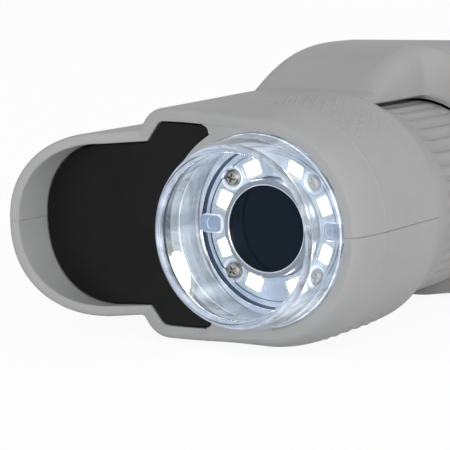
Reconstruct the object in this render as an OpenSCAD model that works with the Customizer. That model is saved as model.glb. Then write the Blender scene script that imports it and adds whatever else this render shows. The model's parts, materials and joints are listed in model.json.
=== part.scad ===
// Handheld digital microscope with a clear contact tube, a lit ring of lamps and a rear display.
// All sizes are millimetres, +Z up, lens facing -Y. Pieces are drawn about the lens axis, then moved
// so that the origin is the middle of the underside of the whole object.

/* [Body] */
// length from the lens collar face to the rear end
body_len = 165; // [155:1:185]
// wall of the two shell halves
wall = 1.8; // [1.5:0.1:2.2]
// radius of the round barrel beside the lens
barrel_r = 22.2; // [22:0.1:23]
// outer radius of the flat collar ring round the clear tube
collar_r = 20.2; // [20:0.1:20.6]
// length over which the collar rounds up to the barrel
dome_len = 10.4; // [8:0.2:12]
// left edge of the raised deck at the front
deck_x = 22; // [21.5:0.1:22.5]
// how much further left the deck reaches at the hump
deck_flare = 2; // [1:0.1:2.5]
// width of the slanted step between deck and side wing
step_w = 2.9; // [2.5:0.1:3.2]
// height of the deck above the lens axis at the front
deck_z = 22.3; // [22:0.1:22.6]
// rise of the deck on its way to the hump
deck_rise = 1.2; // [1:0.1:1.6]
// tip of the side wing from the lens axis
wing_tip = 51.6; // [50:0.1:52]
// centre of the wing's round end
wing_c = 33.2; // [32:0.1:34]
// height of the wing above the lens axis
wing_h = 18; // [17.6:0.1:18.6]
// depth of the wing below the lens axis
wing_d = 19; // [18.6:0.1:19.4]
// how far the wing's hood stands in front of the collar face
hood = 9.4; // [8.5:0.1:10]
// rounding of the outer edge of the rim
rim_r = 0.9; // [0.6:0.1:1.2]

/* [Hump and rear] */
// where the hump starts
hump_y = 36; // [34:0.5:38]
// where the hump reaches its crest
crest_y = 72; // [68:0.5:75]
// height of the crest
crest_z = 32.1; // [31:0.1:34]
// where the display slope starts
slope_y = 76; // [75:0.5:80]
// fall of the display slope in degrees
slope = 14; // [12:0.5:15]
// right side of the rear body
rear_right = 24.5; // [24:0.1:27]
// left side of the rear body
rear_left = 52.3; // [52:0.1:54]
// flat underside below the lens axis
low_face = 23.1; // [23:0.1:24]
// rounding of the rear end
edge_r = 4; // [3:0.5:5]

/* [Clear tube and lamps] */
// outer radius of the clear tube at its front lip
tube_lip_r = 17; // [16.5:0.1:17.2]
// outer radius of the clear tube at its root
tube_root_r = 18.2; // [18:0.1:18.2]
// how far the tube stands out in front of the collar
tube_out = 8.7; // [7:0.1:9]
// inner radius of the clear tube at its front lip
tube_in_r = 15.4; // [15:0.1:15.6]
// how much thicker the wall of the clear tube is at its floor than at its lip
tube_draft = 0.2; // [0.1:0.1:0.6]
// depth of the tube's floor behind the collar face
floor_y = 6; // [5.5:0.1:6.5]
// thickness of the tube's floor
floor_t = 2; // [1.6:0.1:2.4]
// circle that the lamps stand on
lamp_r = 11.8; // [11.6:0.1:12.2]
// circle that the floor screws stand on
ring_screw_r = 12.6; // [12.4:0.1:13]
// thickness of the lamp board
lamp_board_t = 1.2; // [1:0.1:1.6]

/* [Optics] */
// travel of the lens carriage from stop to stop
focus_travel = 12; // [8:0.5:12]
// turn of the focus ring for the whole travel, in degrees
focus_turn = 180; // [150:5:200]
// bore of the guide tube
guide_bore_r = 10.3; // [10.3:0.1:10.4]
// wall of the guide tube
guide_wall = 2; // [1.8:0.1:2.4]
// inner radius of the focus ring
ring_bore_r = 17; // [17:0.1:17.2]
// outer radius of the focus ring at its waist
ring_waist_r = 20.2; // [20.1:0.1:20.4]
// outer radius of the focus ring at its ends
ring_end_r = 21; // [20.7:0.1:21]
// front end of the opening for the focus ring
ring_y0 = 32; // [31.5:0.1:33]
// rear end of the opening for the focus ring
ring_y1 = 64; // [63:0.1:64]
// number of grip grooves on the focus ring
grip_count = 40; // [30:1:44]
// clear gap at each end of the focus ring
ring_gap = 0.4; // [0.3:0.1:0.6]

/* [Display and keys] */
// width of the display window
window_w = 61; // [56:0.5:61]
// start of the display window along the slope
window_s = 22; // [21.5:0.5:24]
// distance of the row of keys from the rear end, along the slope
key_rear = 12.2; // [11.8:0.1:13]
// distance from the row of keys to the display window
key_room = 11.5; // [10.5:0.1:12.5]
// spacing of the keys
key_step = 10.5; // [10.2:0.1:10.6]
// radius of a small key
key_r = 3.8; // [3.4:0.1:3.9]
// radius of the capture key
capture_r = 4.8; // [4.2:0.1:4.9]
// press of a key
key_travel = 0.6; // [0.4:0.1:0.6]

/* [Power and ports] */
// width of the battery pack
battery_w = 34; // [30:0.5:34]
// room between the ends of the battery pack and of the main board
battery_room = 9.5; // [9:0.5:12]
// radius of the threaded hole for a tripod screw
tripod_r = 3.175; // [3.175:0.001:3.175]

/* [Hidden] */
$fn = 96;
front_y = hood * (wing_tip - rim_r - deck_x - step_w) / (wing_tip - deck_x - step_w);
shift = [(rear_left - rear_right) / 2, -(body_len - front_y) / 2, low_face];
mid_x = -(rear_left - rear_right) / 2;
rear_power = 7;
slack = 0.2;
split = 0.05;
end_y = body_len - wall;
fade_y = 14;
rear_from = 62;
rear_to = 74;
square_to = 84;
tube_hole_r = collar_r - wall;
panel_x = 10;
panel_t = 2;
lamp_board_y = floor_y + floor_t;
flange_y = lamp_board_y + lamp_board_t;
flange_t = 2;
flange_r = tube_root_r;
tube_bore_r = tube_root_r - (tube_lip_r - tube_in_r) - tube_draft;
floor_hole_r = 9.6;
mount_y0 = ring_y1 + 0.2;
tube_end_y = 66;
board_y = 68;
mount_screw_r = 14.5;
lens_nose_r = floor_hole_r - 0.3;
bezel_y = 3.4;
bezel_bore_r = 8.1;
glass_y = 4.2;
glass_r = 8.25;
spacer_y = 6.2;
spacer_bore_r = 7.2;
lens_y = 18;
lens_t = 6;
lens_bulge = 1.6;
shoulder_y = 14;
light_bore_r = 5.5;
eye_y = 46;
eye_r = 6.25;
eye_t = 2.4;
eye_bulge = 1.1;
carriage_end = 50;
pin_y = 43;
pin_r = 1.4;
pin_gap = 0.35;
board_t = 1.6;
flex_t = 0.4;
sensor_w = 26;
main_w = 49.2;
main_y0 = 80;
main_y1 = body_len - 8;
door_t = 1.8;
door_z = -low_face + 0.2;
bat_x = mid_x;
battery_l = main_y1 - main_y0 - 2 * battery_room;
bat_y = (main_y0 + main_y1) / 2 - 1.5;
bat_z0 = door_z + door_t;
door_w = battery_w + 4;
door_l = battery_l + 6;
port_x = mid_x;
port_w = 22.6;
port_r = 1.1;
slope_len = (body_len - slope_y) / cos(slope);
key_s = slope_len - key_rear;
window_l = key_s - key_room - window_s;
window_x0 = mid_x - window_w / 2;
lcd_top = -3.4;
lcd_t = 2.8;
bracket_t = 1.5;
key_foot = -2.75;
key_board_top = -7.4;
switch_t = 3.5;
key_l = 12;
key_board_s = key_s + key_l / 2;
key_board_z = key_board_top - board_t;
key_low = crest_z - key_board_s * sin(slope) + key_board_z * cos(slope);
key_air = 3.5;
main_drop = 2.6;
main_z = min(-main_drop, key_low - key_air - board_t);
bat_z1 = main_z - 4.4;
contact_y = bat_y - battery_l / 2 + 3;
port_z0 = main_z - 8.6;
port_z1 = main_z + 1.4;
screw_seat = -9;
bush_x = mid_x;
bush_y = 77.5;
bush_r = 5;
rear_spot_x = (rear_left + rear_right) / 2 - 9.9;
rear_spot_y = body_len - 10;
rear_spot_z = crest_z - (rear_spot_y + 3.2 - slope_y) * tan(slope) - 0.5;
case_spots = [[-38, 22, wing_h - 1.9, wing_d - 1.9],
              [-40, 74, wing_h + 0.3, wing_d + 1.6],
              [mid_x - rear_spot_x, rear_spot_y, rear_spot_z, low_face - 1],
              [mid_x + rear_spot_x, rear_spot_y, rear_spot_z, low_face - 1]];
board_hole_x = main_w / 2 - 2.6;
board_spots = [[mid_x - board_hole_x, main_y0 + 4],
               [mid_x + board_hole_x, main_y0 + 4],
               [mid_x - board_hole_x, main_y1 - 5],
               [mid_x + board_hole_x, main_y1 - 5]];
window_spots = [[window_x0 + 1, window_s + 3],
                [window_x0 + 1, window_s + window_l - 3],
                [window_x0 + window_w - 1, window_s + 3],
                [window_x0 + window_w - 1, window_s + window_l - 3]];
chips = [[-7, 24, 14, 14, 1.4], [-20, 26, 9, 8, 1.2], [12, 46, 7, 10, 1.2], [-18, 46, 6, 6, 1]];
key_posts = [mid_x - 1.5 * key_step, mid_x + 1.5 * key_step];
key_xs = [mid_x - 2 * key_step, mid_x - key_step, mid_x, mid_x + key_step, mid_x + 2 * key_step];
stations = [0, 0.3, 0.9, 3, 6, 10.4, 16, 24, 32, 36, 38, 40.5, 44, 48, 53, 58, 63,
            68, 72, 76, 80, 84, 88, 92, 96];
tail_steps = [0, 0.5, 0.8, 0.95, 1];
rows = concat(stations, [for (t = tail_steps) body_len - edge_r + edge_r * t]);
arc_n = 9;

// Plain helpers
function cap_r(i) = i == 2 ? capture_r : key_r;
function clip(u) = max(0, min(1, u));
function ease(a, b, y) = let (u = clip((y - a) / (b - a))) u * u * (3 - 2 * u);
function mix(a, b, u) = a + (b - a) * u;

// Body outline as functions of the distance behind the collar face
function hump(u) = 1 - pow(1 - u, 2.2);
function top_z(y) =
    y < hump_y ? deck_z + deck_rise * y / hump_y :
    y < crest_y ? mix(deck_z + deck_rise, crest_z, hump((y - hump_y) / (crest_y - hump_y))) :
    y < slope_y ? crest_z : crest_z - (y - slope_y) * tan(slope);
function low_z(y) = low_face;
function dome(y) = y >= dome_len ? 1 : sqrt(1 - pow((dome_len - y) / dome_len, 2));
function tail(y) =
    let (s = y - (body_len - edge_r)) s <= 0 ? 0 : edge_r - sqrt(max(0, edge_r * edge_r - s * s));
function right_x(y) =
    mix(collar_r, barrel_r, dome(y)) + (rear_right - barrel_r) * ease(rear_from, rear_to, y);
function power(y) = 2 + (rear_power - 2) * ease(rear_from, square_to, y);
function side_power(y, up) = up ? power(y) : max(power(y), 2 + 0.25 * ease(2, 12, y));
function deck_at(y) = deck_x + deck_flare * ease(4, 40, y);
function lip(y, d) =
    d > 0 ? rim_r * (1 - ease(1, 12, y)) :
    y >= rim_r ? 0 : rim_r - sqrt(rim_r * rim_r - (rim_r - y) * (rim_r - y));
function wing_x(y) = mix(wing_tip, rear_left, clip(y / 70));
function wing_top(y) = mix(wing_h + 0.02 * y, top_z(y), ease(78, 96, y));
function wing_low(y) = mix(wing_d + 0.02 * y, low_z(y), ease(64, 84, y));
function hood_y(x, y) =
    let (wing = wing_tip - deck_x - step_w)
    -hood * max(0, -x - deck_x - step_w) / wing * (1 - clip(y / fade_y));

// Half outline from the right parting point over the deck to the left parting point, d inside the skin
function half(y, d, up) =
    let (e = d + tail(y), f = e + lip(y, d), m = 2 / side_power(y, up), n = 2 / power(y),
         a = right_x(y) - e, full = up ? top_z(y) : low_z(y), t = full - f,
         q = mix(collar_r - e, full - f, dome(y)), l = (up ? wing_top(y) : wing_low(y)) - f,
         w = wing_x(y) - f - wing_c, k0 = deck_at(y) - d, v = up ? n : min(n, 2 / 2.2),
         r = 1.4 * (1 - (up ? ease(78, 96, y) : ease(64, 84, y))))
    concat([for (i = [0 : arc_n]) let (k = 90 * i / arc_n) [a * pow(cos(k), m), q * pow(sin(k), m)]],
           [[-7, mix(q, t, 0.5)], [-14, mix(q, t, 0.85)]],
           [[1.4 - k0, t], [0.4 - k0, t - 0.3 * r], [-k0, t - r], [-k0 - step_w, l]],
           [for (i = [0 : arc_n])
               let (k = 90 * i / arc_n) [-wing_c - w * pow(sin(k), v), l * pow(cos(k), v)]]);

cols = len(half(0, 0, true));
last = len(rows) - 1;
function ring_of(y, yy, d, up) = [for (p = half(y, d, up)) [p[0], yy + hood_y(p[0], y), p[1]]];
function inner_y(y) = y > 96 ? y - wall : y;
function skin(up) = concat(
    [for (y = rows) each ring_of(y, y, 0, up)],
    [for (y = rows) each ring_of(y, inner_y(y), wall, up)]);
function o(j, i) = j * cols + i;
function n(j, i) = (last + 1) * cols + j * cols + i;
function pair(a, b, c, d) = [[a, b, c], [a, c, d]];
faces = concat(
    [for (j = [0 : last - 1], i = [0 : cols - 2])
        each pair(o(j, i), o(j, i + 1), o(j + 1, i + 1), o(j + 1, i))],
    [for (j = [0 : last - 1], i = [0 : cols - 2])
        each pair(n(j, i), n(j + 1, i), n(j + 1, i + 1), n(j, i + 1))],
    [for (i = [0 : cols - 2])
        each pair(o(0, i), n(0, i), n(0, i + 1), o(0, i + 1))],
    [[for (i = [0 : cols - 1]) o(last, i)], [for (i = [cols - 1 : -1 : 0]) n(last, i)]],
    [for (j = [0 : last - 1])
        each pair(o(j, 0), o(j + 1, 0), n(j + 1, 0), n(j, 0))],
    [for (j = [0 : last - 1])
        let (i = cols - 1) each pair(o(j, i), n(j, i), n(j + 1, i), o(j + 1, i))],
    pair(o(last, 0), o(last, cols - 1), n(last, cols - 1), n(last, 0)));

module half_shell(up) {
    polyhedron(points = skin(up), faces = faces, convexity = 12);
}

// Round and square helpers along the lens axis
module rod(r, y0, y1) {
    translate([0, y0, 0]) rotate([-90, 0, 0]) cylinder(r = r, h = y1 - y0);
}
module box(x0, x1, y0, y1, z0, z1) {
    translate([x0, y0, z0]) cube([x1 - x0, y1 - y0, z1 - z0]);
}
module post(x, y, r, z0, z1) {
    translate([x, y, z0]) cylinder(r = r, h = z1 - z0);
}
module stud(x, y, r, z0, z1) {
    translate([x, y, z0]) cylinder(r = r, h = z1 - z0, $fn = 12);
}
module on_slope() {
    translate([0, slope_y, crest_z]) rotate([-slope, 0, 0]) children();
}
module turned(angle) {
    rotate([0, -angle, 0]) children();
}
module at_corner(k, r) {
    turned(45 + 90 * k) translate([r, 0, 0]) children();
}
module window_box(inset, z0, z1) {
    box(window_x0 + inset, window_x0 + window_w - inset,
        window_s + inset, window_s + window_l - inset, z0, z1);
}
module battery_box(w, l, z0, z1) {
    box(bat_x - w / 2, bat_x + w / 2, bat_y - l / 2, bat_y + l / 2, z0, z1);
}
module port_axle(r, l) {
    translate([port_x - l / 2, end_y + port_r, port_z0 + port_r]) rotate([0, 90, 0]) cylinder(r = r, h = l);
}
module plate(y0, y1) {
    translate([0, y1, 0]) rotate([90, 0, 0]) linear_extrude(height = y1 - y0) children();
}
module half_face(y, d, up) {
    polygon(half(y, d, up));
}

// Inside walls that both halves share, drawn on the upper side
module nose_walls(up) {
    plate(0, 3) polygon(concat(
        [for (k = [88 : 8 : 176]) (collar_r - 0.05) * [cos(k), sin(k)]],
        [[-collar_r + 0.05, split], [-tube_hole_r - 0.05, split]],
        [for (k = [176 : -8 : 88]) (tube_hole_r + 0.05) * [cos(k), sin(k)]]));
    plate(0.05, 2.2) difference() {
        translate([-panel_x, 12]) square([panel_x, collar_r - 0.2 - 12]);
        circle(r = collar_r - 0.6, $fn = 90);
    }
    difference() {
        plate(flange_y, flange_y + flange_t + 1.4) intersection() {
            circle(r = collar_r + 0.8, $fn = 44);
            translate([-30, split]) square([60, 60]);
        }
        rod(flange_r + 0.1, flange_y - 1, flange_y + flange_t + 0.05);
        rod(ring_bore_r - 0.5, flange_y, flange_y + 9);
    }
    box(-36, -28, panel_t + 0.3, panel_t + 2.3, wing_h - wall - 2.5, wing_h - wall + 0.5);
    difference() {
        plate(ring_y1 + 0.05, ring_y1 + wall) intersection() {
            half_face(ring_y1 + 0.5, 0.6, up);
            translate([up ? 3.75 : -12.3, split]) square([60, 60]);
        }
        rod(flange_r, ring_y1 - 1, ring_y1 + 4);
    }
}

// Shell halves
module upper_shell() {
    flank_ys = [36, 38, 40.5, 44, 48, 53, 58, 63, 65];
    color("gray") difference() {
        union() {
            difference() {
                half_shell(true);
                box(5.5, 60, ring_y0, ring_y1, -1, 60);
            }
            nose_walls(true);
            translate([3.65, 0, 0]) rotate([90, 0, 90]) linear_extrude(height = wall) polygon(concat(
                [[ring_y0 - 1, 21.4], [ring_y0 - 1, 21.9]],
                [for (y = flank_ys) [y, 0.965 * top_z(y) - 0.3]],
                [[65, 21.4]]));
            for (s = case_spots) stud(s[0], s[1], 3.2, split, s[2]);
            on_slope() {
                window_box(-2, lcd_top, -1);
                for (p = window_spots) stud(p[0], p[1], 1.7, lcd_top - lcd_t, lcd_top + 1);
                for (x = key_posts) stud(x, key_s, 1.9, key_board_top, key_board_top + 6);
            }
        }
        for (s = case_spots) post(s[0], s[1], 1.27, -1, 7);
        on_slope() {
            window_box(-0.1, -1.4, 8);
            window_box(3, -12, 8);
            for (i = [0 : 4]) post(key_xs[i], key_s, cap_r(i) + 0.3, -5, 7);
            for (p = window_spots) post(p[0], p[1], 0.82, lcd_top - lcd_t - 1, lcd_top + 0.6);
            for (x = key_posts) post(x, key_s, 0.82, key_board_top - 1, key_board_top + 3.6);
        }
    }
}

module lower_shell() {
    color("gray") difference() {
        union() {
            mirror([0, 0, 1]) {
                difference() {
                    half_shell(false);
                    box(-12, 60, ring_y0, ring_y1, -1, 60);
                }
                nose_walls(false);
            }
            for (s = case_spots) stud(s[0], s[1], 3.2, -s[3], -split);
            for (s = board_spots) stud(s[0], s[1], 2.2, -low_face + 1, main_z);
            stud(bush_x, bush_y, bush_r + 2, -low_face + 1, -12.4);
        }
        for (s = case_spots) {
            post(s[0], s[1], 1.45, screw_seat - 1, 1);
            stud(s[0], s[1], 2.9, -30, screw_seat);
        }
        for (s = board_spots) post(s[0], s[1], 0.82, main_z - 5, main_z + 1);
        post(bush_x, bush_y, bush_r + 0.02, -30, -5);
        battery_box(door_w, door_l, -40, -low_face + wall + 1);
        box(port_x - port_w / 2 - 0.2, port_x + port_w / 2 + 0.2,
            end_y - 2, body_len + 1, port_z0, port_z1 + 0.2);
        port_axle(0.52, port_w + 3.2);
    }
}

// Nose
module nose_panel() {
    color("black") plate(0.3, 0.3 + panel_t) difference() {
        polygon(concat(
            half(0, wall + slack, true),
            [for (i = [cols - 2 : -1 : 1]) let (p = half(0, wall + slack, false)[i]) [p[0], -p[1]]]));
        circle(r = collar_r + slack);
        translate([-panel_x - slack, -60]) square([120, 120]);
    }
}

module contact_tube() {
    color("azure") difference() {
        rotate([-90, 0, 0]) rotate_extrude() polygon([
            [floor_hole_r, floor_y], [tube_bore_r, floor_y],
            [tube_in_r, 1 - tube_out], [tube_in_r + 0.5, -tube_out],
            [tube_lip_r - 0.4, -tube_out], [tube_lip_r, 0.6 - tube_out], [tube_root_r, 0],
            [tube_root_r, floor_y + floor_t], [floor_hole_r, floor_y + floor_t]]);
        for (k = [0 : 7]) turned(22.5 + 45 * k)
            box(lamp_r - 1.75, lamp_r + 1.75, floor_y - 1, floor_y + floor_t + 1, -2.1, 2.1);
        for (k = [0 : 3]) at_corner(k, ring_screw_r) {
            rod(1.9, floor_y - 1, floor_y + 0.8);
            rod(0.95, floor_y - 1, floor_y + floor_t + 1);
        }
    }
}

module lamp_board() {
    color("white") difference() {
        rod(tube_root_r - 0.2, lamp_board_y, lamp_board_y + lamp_board_t);
        rod(floor_hole_r, lamp_board_y - 1, lamp_board_y + 4);
        for (k = [0 : 3]) at_corner(k, ring_screw_r) rod(0.95, lamp_board_y - 1, lamp_board_y + 4);
    }
}

module lamps() {
    color("ivory") for (k = [0 : 7]) turned(22.5 + 45 * k)
        box(lamp_r - 1.4, lamp_r + 1.4, lamp_board_y - 1.7, lamp_board_y, -1.75, 1.75);
}

module ring_screws() {
    color("silver") for (k = [0 : 3]) at_corner(k, ring_screw_r) {
        difference() {
            union() {
                rod(1.6, floor_y - 0.4, floor_y + 0.8);
                rod(0.8, floor_y + 0.4, flange_y + flange_t - 0.2);
            }
            box(-1, 1, floor_y - 1, floor_y, -0.2, 0.2);
            box(-0.2, 0.2, floor_y - 1, floor_y, -1, 1);
        }
    }
}

// Lens carriage and what it carries
module lens_bezel() {
    color("silver") difference() {
        rod(lens_nose_r, bezel_y, glass_y);
        rod(bezel_bore_r, bezel_y - 1, glass_y + 1);
    }
}

module objective_glass() {
    color("darkslateblue") rod(glass_r, glass_y, spacer_y);
}

module spacer_ring() {
    color("dimgray") difference() {
        rod(glass_r, spacer_y, lens_y);
        rod(spacer_bore_r, spacer_y - 1, lens_y + 1);
    }
}

module objective_lens() {
    front = [for (i = [0 : 5]) let (u = i / 5) [glass_r * u, lens_y + lens_bulge * u * u]];
    back = [for (i = [5 : -1 : 0]) let (u = i / 5) [glass_r * u, lens_y + lens_t - lens_bulge * u * u]];
    color("lightblue") rotate([-90, 0, 0]) rotate_extrude() polygon(concat(front, back));
}

module rear_lens() {
    color("lightblue") rotate([-90, 0, 0]) rotate_extrude()
        polygon(concat(
            [[0, eye_y], [eye_r, eye_y]],
            [for (i = [4 : -1 : 0]) let (u = i / 4) [eye_r * u, eye_y + eye_t + eye_bulge * u * u]]));
}

module lens_carriage() {
    color("dimgray") difference() {
        union() {
            rod(lens_nose_r, glass_y, shoulder_y);
            rod(guide_bore_r - 0.08, shoulder_y, carriage_end);
        }
        rod(glass_r + 0.05, glass_y - 0.2, lens_y + lens_t);
        rod(light_bore_r, lens_y + lens_t - 1, eye_y + 1);
        rod(eye_r + 0.05, eye_y, carriage_end + 1);
        turned(180) translate([5, pin_y, 0]) rotate([0, 90, 0]) cylinder(r = pin_r, h = 10);
    }
}

module focus_pin() {
    color("silver") turned(180) translate([6.4, pin_y, 0]) rotate([0, 90, 0]) cylinder(r = pin_r, h = 12);
}

module guide_tube() {
    color("darkgray") difference() {
        union() {
            rod(flange_r, flange_y, flange_y + flange_t);
            rod(guide_bore_r + guide_wall, flange_y, tube_end_y);
            rod(ring_bore_r - 0.07, ring_y0 + 1, ring_y0 + 4);
            rod(ring_bore_r - 0.07, ring_y1 - 4, ring_y1 - 1);
        }
        rod(guide_bore_r, flange_y - 1, tube_end_y + 1);
        turned(180) box(guide_bore_r - 2, guide_bore_r + guide_wall + 1,
            pin_y - pin_r - 0.4, pin_y + focus_travel + pin_r + 0.4, -pin_r - 0.1, pin_r + 0.1);
        for (k = [0 : 3]) at_corner(k, ring_screw_r) rod(0.82, flange_y - 1, flange_y + flange_t + 1);
    }
}

// Helical groove that drives the focus pin
module cam_groove() {
    w = pin_r + pin_gap;
    steps = 44;
    a0 = 180 - 12;
    a1 = 180 + focus_turn + 12;
    function spot(a, r, dy) = [r * cos(a), pin_y + focus_travel * (a - 180) / focus_turn + dy, r * sin(a)];
    in_r = ring_bore_r - 1.5;
    out_r = ring_bore_r + 1.9;
    end = 4 * steps;
    pts = [for (i = [0 : steps])
        let (a = mix(a0, a1, i / steps))
        each [spot(a, in_r, -w), spot(a, out_r, -w), spot(a, out_r, w), spot(a, in_r, w)]];
    sides = [for (i = [0 : steps - 1], k = [0 : 3])
        let (b = 4 * i, m = (k + 1) % 4)
        each [[b + k, b + 4 + m, b + m], [b + k, b + 4 + k, b + 4 + m]]];
    ends = [[0, 1, 2, 3], [end + 3, end + 2, end + 1, end]];
    polyhedron(points = pts, faces = concat(sides, ends), convexity = 6);
}

module focus_ring() {
    y0 = ring_y0 + ring_gap;
    y1 = ring_y1 - ring_gap;
    color("gray") difference() {
        rotate([-90, 0, 0]) rotate_extrude() polygon([
            [ring_bore_r, y0], [ring_end_r, y0], [ring_waist_r, y0 + 7],
            [ring_waist_r, y1 - 7], [ring_end_r, y1], [ring_bore_r, y1]]);
        for (k = [0 : grip_count - 1]) turned(360 * k / grip_count)
            translate([ring_waist_r + 0.35, 0, 0]) rod(0.85, y0 + 4, y1 - 3);
        cam_groove();
    }
}

// Camera at the rear end of the guide tube
module sensor_mount() {
    color("dimgray") difference() {
        rod(flange_r - 0.1, mount_y0, board_y);
        rod(guide_bore_r + guide_wall + 0.05, mount_y0 - 1, tube_end_y);
        rod(9, tube_end_y - 1, board_y + 1);
        for (k = [0 : 3]) at_corner(k, mount_screw_r) rod(0.82, board_y - 3.4, board_y + 1);
    }
}

module ir_filter() {
    color("lightcyan") rod(8.95, tube_end_y, tube_end_y + 0.8);
}

module image_sensor() {
    color("black") box(-4, 4, board_y - 1.1, board_y, -4, 4);
}

module sensor_board() {
    color("darkgreen") difference() {
        box(-sensor_w / 2, sensor_w / 2, board_y, board_y + board_t, -sensor_w / 2, sensor_w / 2);
        for (k = [0 : 3]) at_corner(k, mount_screw_r) rod(0.95, board_y - 1, board_y + 3);
    }
}

module sensor_flex() {
    y0 = board_y + board_t;
    z1 = main_z + board_t;
    color("orange") translate([-5, 0, 0]) rotate([90, 0, 90]) linear_extrude(height = 10) polygon([
        [y0, -9], [y0 + flex_t, -9], [y0 + flex_t, -4.4], [main_y0 - 3, z1 + 0.1],
        [main_y0 + 6, z1], [main_y0 + 6, z1 + flex_t], [main_y0 - 3.4, z1 + 0.5], [y0, -4]]);
}

// Main board
module main_board() {
    color("darkgreen") difference() {
        box(mid_x - main_w / 2, mid_x + main_w / 2, main_y0, main_y1, main_z, main_z + board_t);
        for (s = board_spots) post(s[0], s[1], 0.95, main_z - 1, main_z + board_t + 1);
    }
}

module board_chips() {
    color("black") for (c = chips)
        translate([mid_x + c[0], main_y0 + c[1], main_z + board_t]) cube([c[2], c[3], c[4]]);
}

// Display on the rear slope
module display_window() {
    color("darkslategray") on_slope() window_box(0, -1.4, -0.1);
}

module lcd_panel() {
    color("steelblue") on_slope()
        box(window_x0 + 2.9, window_x0 + window_w - 2.9,
            window_s + 0.5, window_s + window_l - 0.5, lcd_top - lcd_t, lcd_top);
}

module lcd_bracket() {
    z1 = lcd_top - lcd_t;
    color("silver") on_slope() difference() {
        box(window_x0 - 1, window_x0 + window_w + 1, window_s, window_s + window_l, z1 - bracket_t, z1);
        box(window_x0 + 10, window_x0 + window_w - 10,
            window_s + 8, window_s + window_l - 8, z1 - 4, z1 + 1);
        for (p = window_spots) post(p[0], p[1], 0.95, z1 - 4, z1 + 4);
    }
}

module lcd_flex() {
    z1 = main_z + board_t;
    s = window_s + 0.43 * window_l;
    y = slope_y + s * cos(slope) + (lcd_top - lcd_t) * sin(slope);
    z = crest_z - s * sin(slope) + (lcd_top - lcd_t) * cos(slope);
    color("orange") translate([mid_x + 7.5, 0, 0])
        rotate([90, 0, 90]) linear_extrude(height = 12) polygon([
            [y, z], [y + flex_t, z - flex_t * tan(slope)], [y + flex_t, z1],
            [y - 8, z1], [y - 8, z1 + flex_t], [y, z1 + flex_t]]);
}

// Keys under the display
module key_board() {
    color("darkgreen") on_slope() difference() {
        box(key_xs[0] - 3.6, key_xs[4] + 3.6, key_board_s - key_l, key_board_s, key_board_z, key_board_top);
        for (x = key_posts) post(x, key_s, 0.95, key_board_top - 4, key_board_top + 4);
    }
}

module key_switches() {
    color("dimgray") on_slope() for (x = key_xs) translate([x, key_s, key_board_top]) {
        translate([-3, -3, 0]) cube([6, 6, switch_t]);
        translate([0, 0, switch_t - 0.5]) cylinder(r = 1.6, h = 0.9);
    }
}

// A key is kept in its hole by two tabs at its foot
module key(i) {
    r = cap_r(i);
    on_slope() translate([key_xs[i], key_s, key_foot]) {
        cylinder(r = r, h = 1 - key_foot);
        intersection() {
            cylinder(r = r + 0.5, h = 0.4);
            translate([-1.5, -10, 0]) cube([3, 20, 1]);
        }
    }
}

module key_power() {
    color("firebrick") key(0);
}
module key_menu() {
    color("dimgray") key(1);
}
module key_capture() {
    color("silver") key(2);
}
module key_up() {
    color("dimgray") key(3);
}
module key_down() {
    color("dimgray") key(4);
}

// Power
module battery_pack() {
    color("royalblue") battery_box(battery_w, battery_l, bat_z0, bat_z1);
}

module battery_contacts() {
    color("gold") for (dx = [-5, 3])
        box(bat_x + dx, bat_x + dx + 2, contact_y, contact_y + 3, bat_z1, main_z);
}

module battery_door() {
    color("gray") battery_box(door_w - 2 * slack, door_l - 2 * slack, door_z, door_z + door_t);
}

// Ports behind the rear flap
module usb_socket() {
    color("silver") difference() {
        box(port_x - 10.4, port_x - 2.6, main_y1 - 4, end_y - 0.6, main_z - 3.6, main_z);
        box(port_x - 9.8, port_x - 3.2, main_y1 - 2, end_y + 1, main_z - 3, main_z - 0.6);
    }
}

module card_socket() {
    color("silver") difference() {
        box(port_x - 1.6, port_x + 10.4, main_y1 - 6, end_y - 0.6, main_z - 2.4, main_z);
        box(port_x - 1, port_x + 9.8, main_y1 - 4, end_y + 1, main_z - 1.9, main_z - 0.7);
    }
}

module port_cover() {
    z = port_z0 + port_r;
    color("darkslategray") difference() {
        union() {
            box(port_x - port_w / 2, port_x + port_w / 2, end_y + 0.2, body_len - 0.2, z, port_z1);
            port_axle(port_r - 0.3, port_w);
        }
        port_axle(0.56, 60);
    }
}

module port_pin() {
    color("silver") port_axle(0.5, port_w + 3);
}

// Fixings
module tripod_bush() {
    color("gold") difference() {
        post(bush_x, bush_y, bush_r, -low_face + 0.1, -12.4);
        post(bush_x, bush_y, tripod_r, -low_face - 1, -14);
    }
}

module case_screws() {
    color("silver") for (s = case_spots) {
        post(s[0], s[1], 2.5, screw_seat - 2, screw_seat);
        post(s[0], s[1], 1.25, screw_seat - 0.1, 6.5);
    }
}

module board_screw() {
    cylinder(r = 1.5, h = 1);
    translate([0, 0, -4.2]) cylinder(r = 0.8, h = 4.3);
}

module board_screws() {
    z1 = lcd_top - lcd_t - bracket_t;
    color("silver") {
        for (s = board_spots) translate([s[0], s[1], main_z + board_t]) board_screw();
        on_slope() {
            for (p = window_spots) translate([p[0], p[1], z1]) rotate([180, 0, 0]) board_screw();
            for (x = key_posts) translate([x, key_s, key_board_z]) rotate([180, 0, 0]) board_screw();
        }
        for (k = [0 : 3]) at_corner(k, mount_screw_r)
            translate([0, board_y + board_t, 0]) rotate([-90, 0, 0]) board_screw();
    }
}

module place() {
    translate(shift) children();
}

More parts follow.
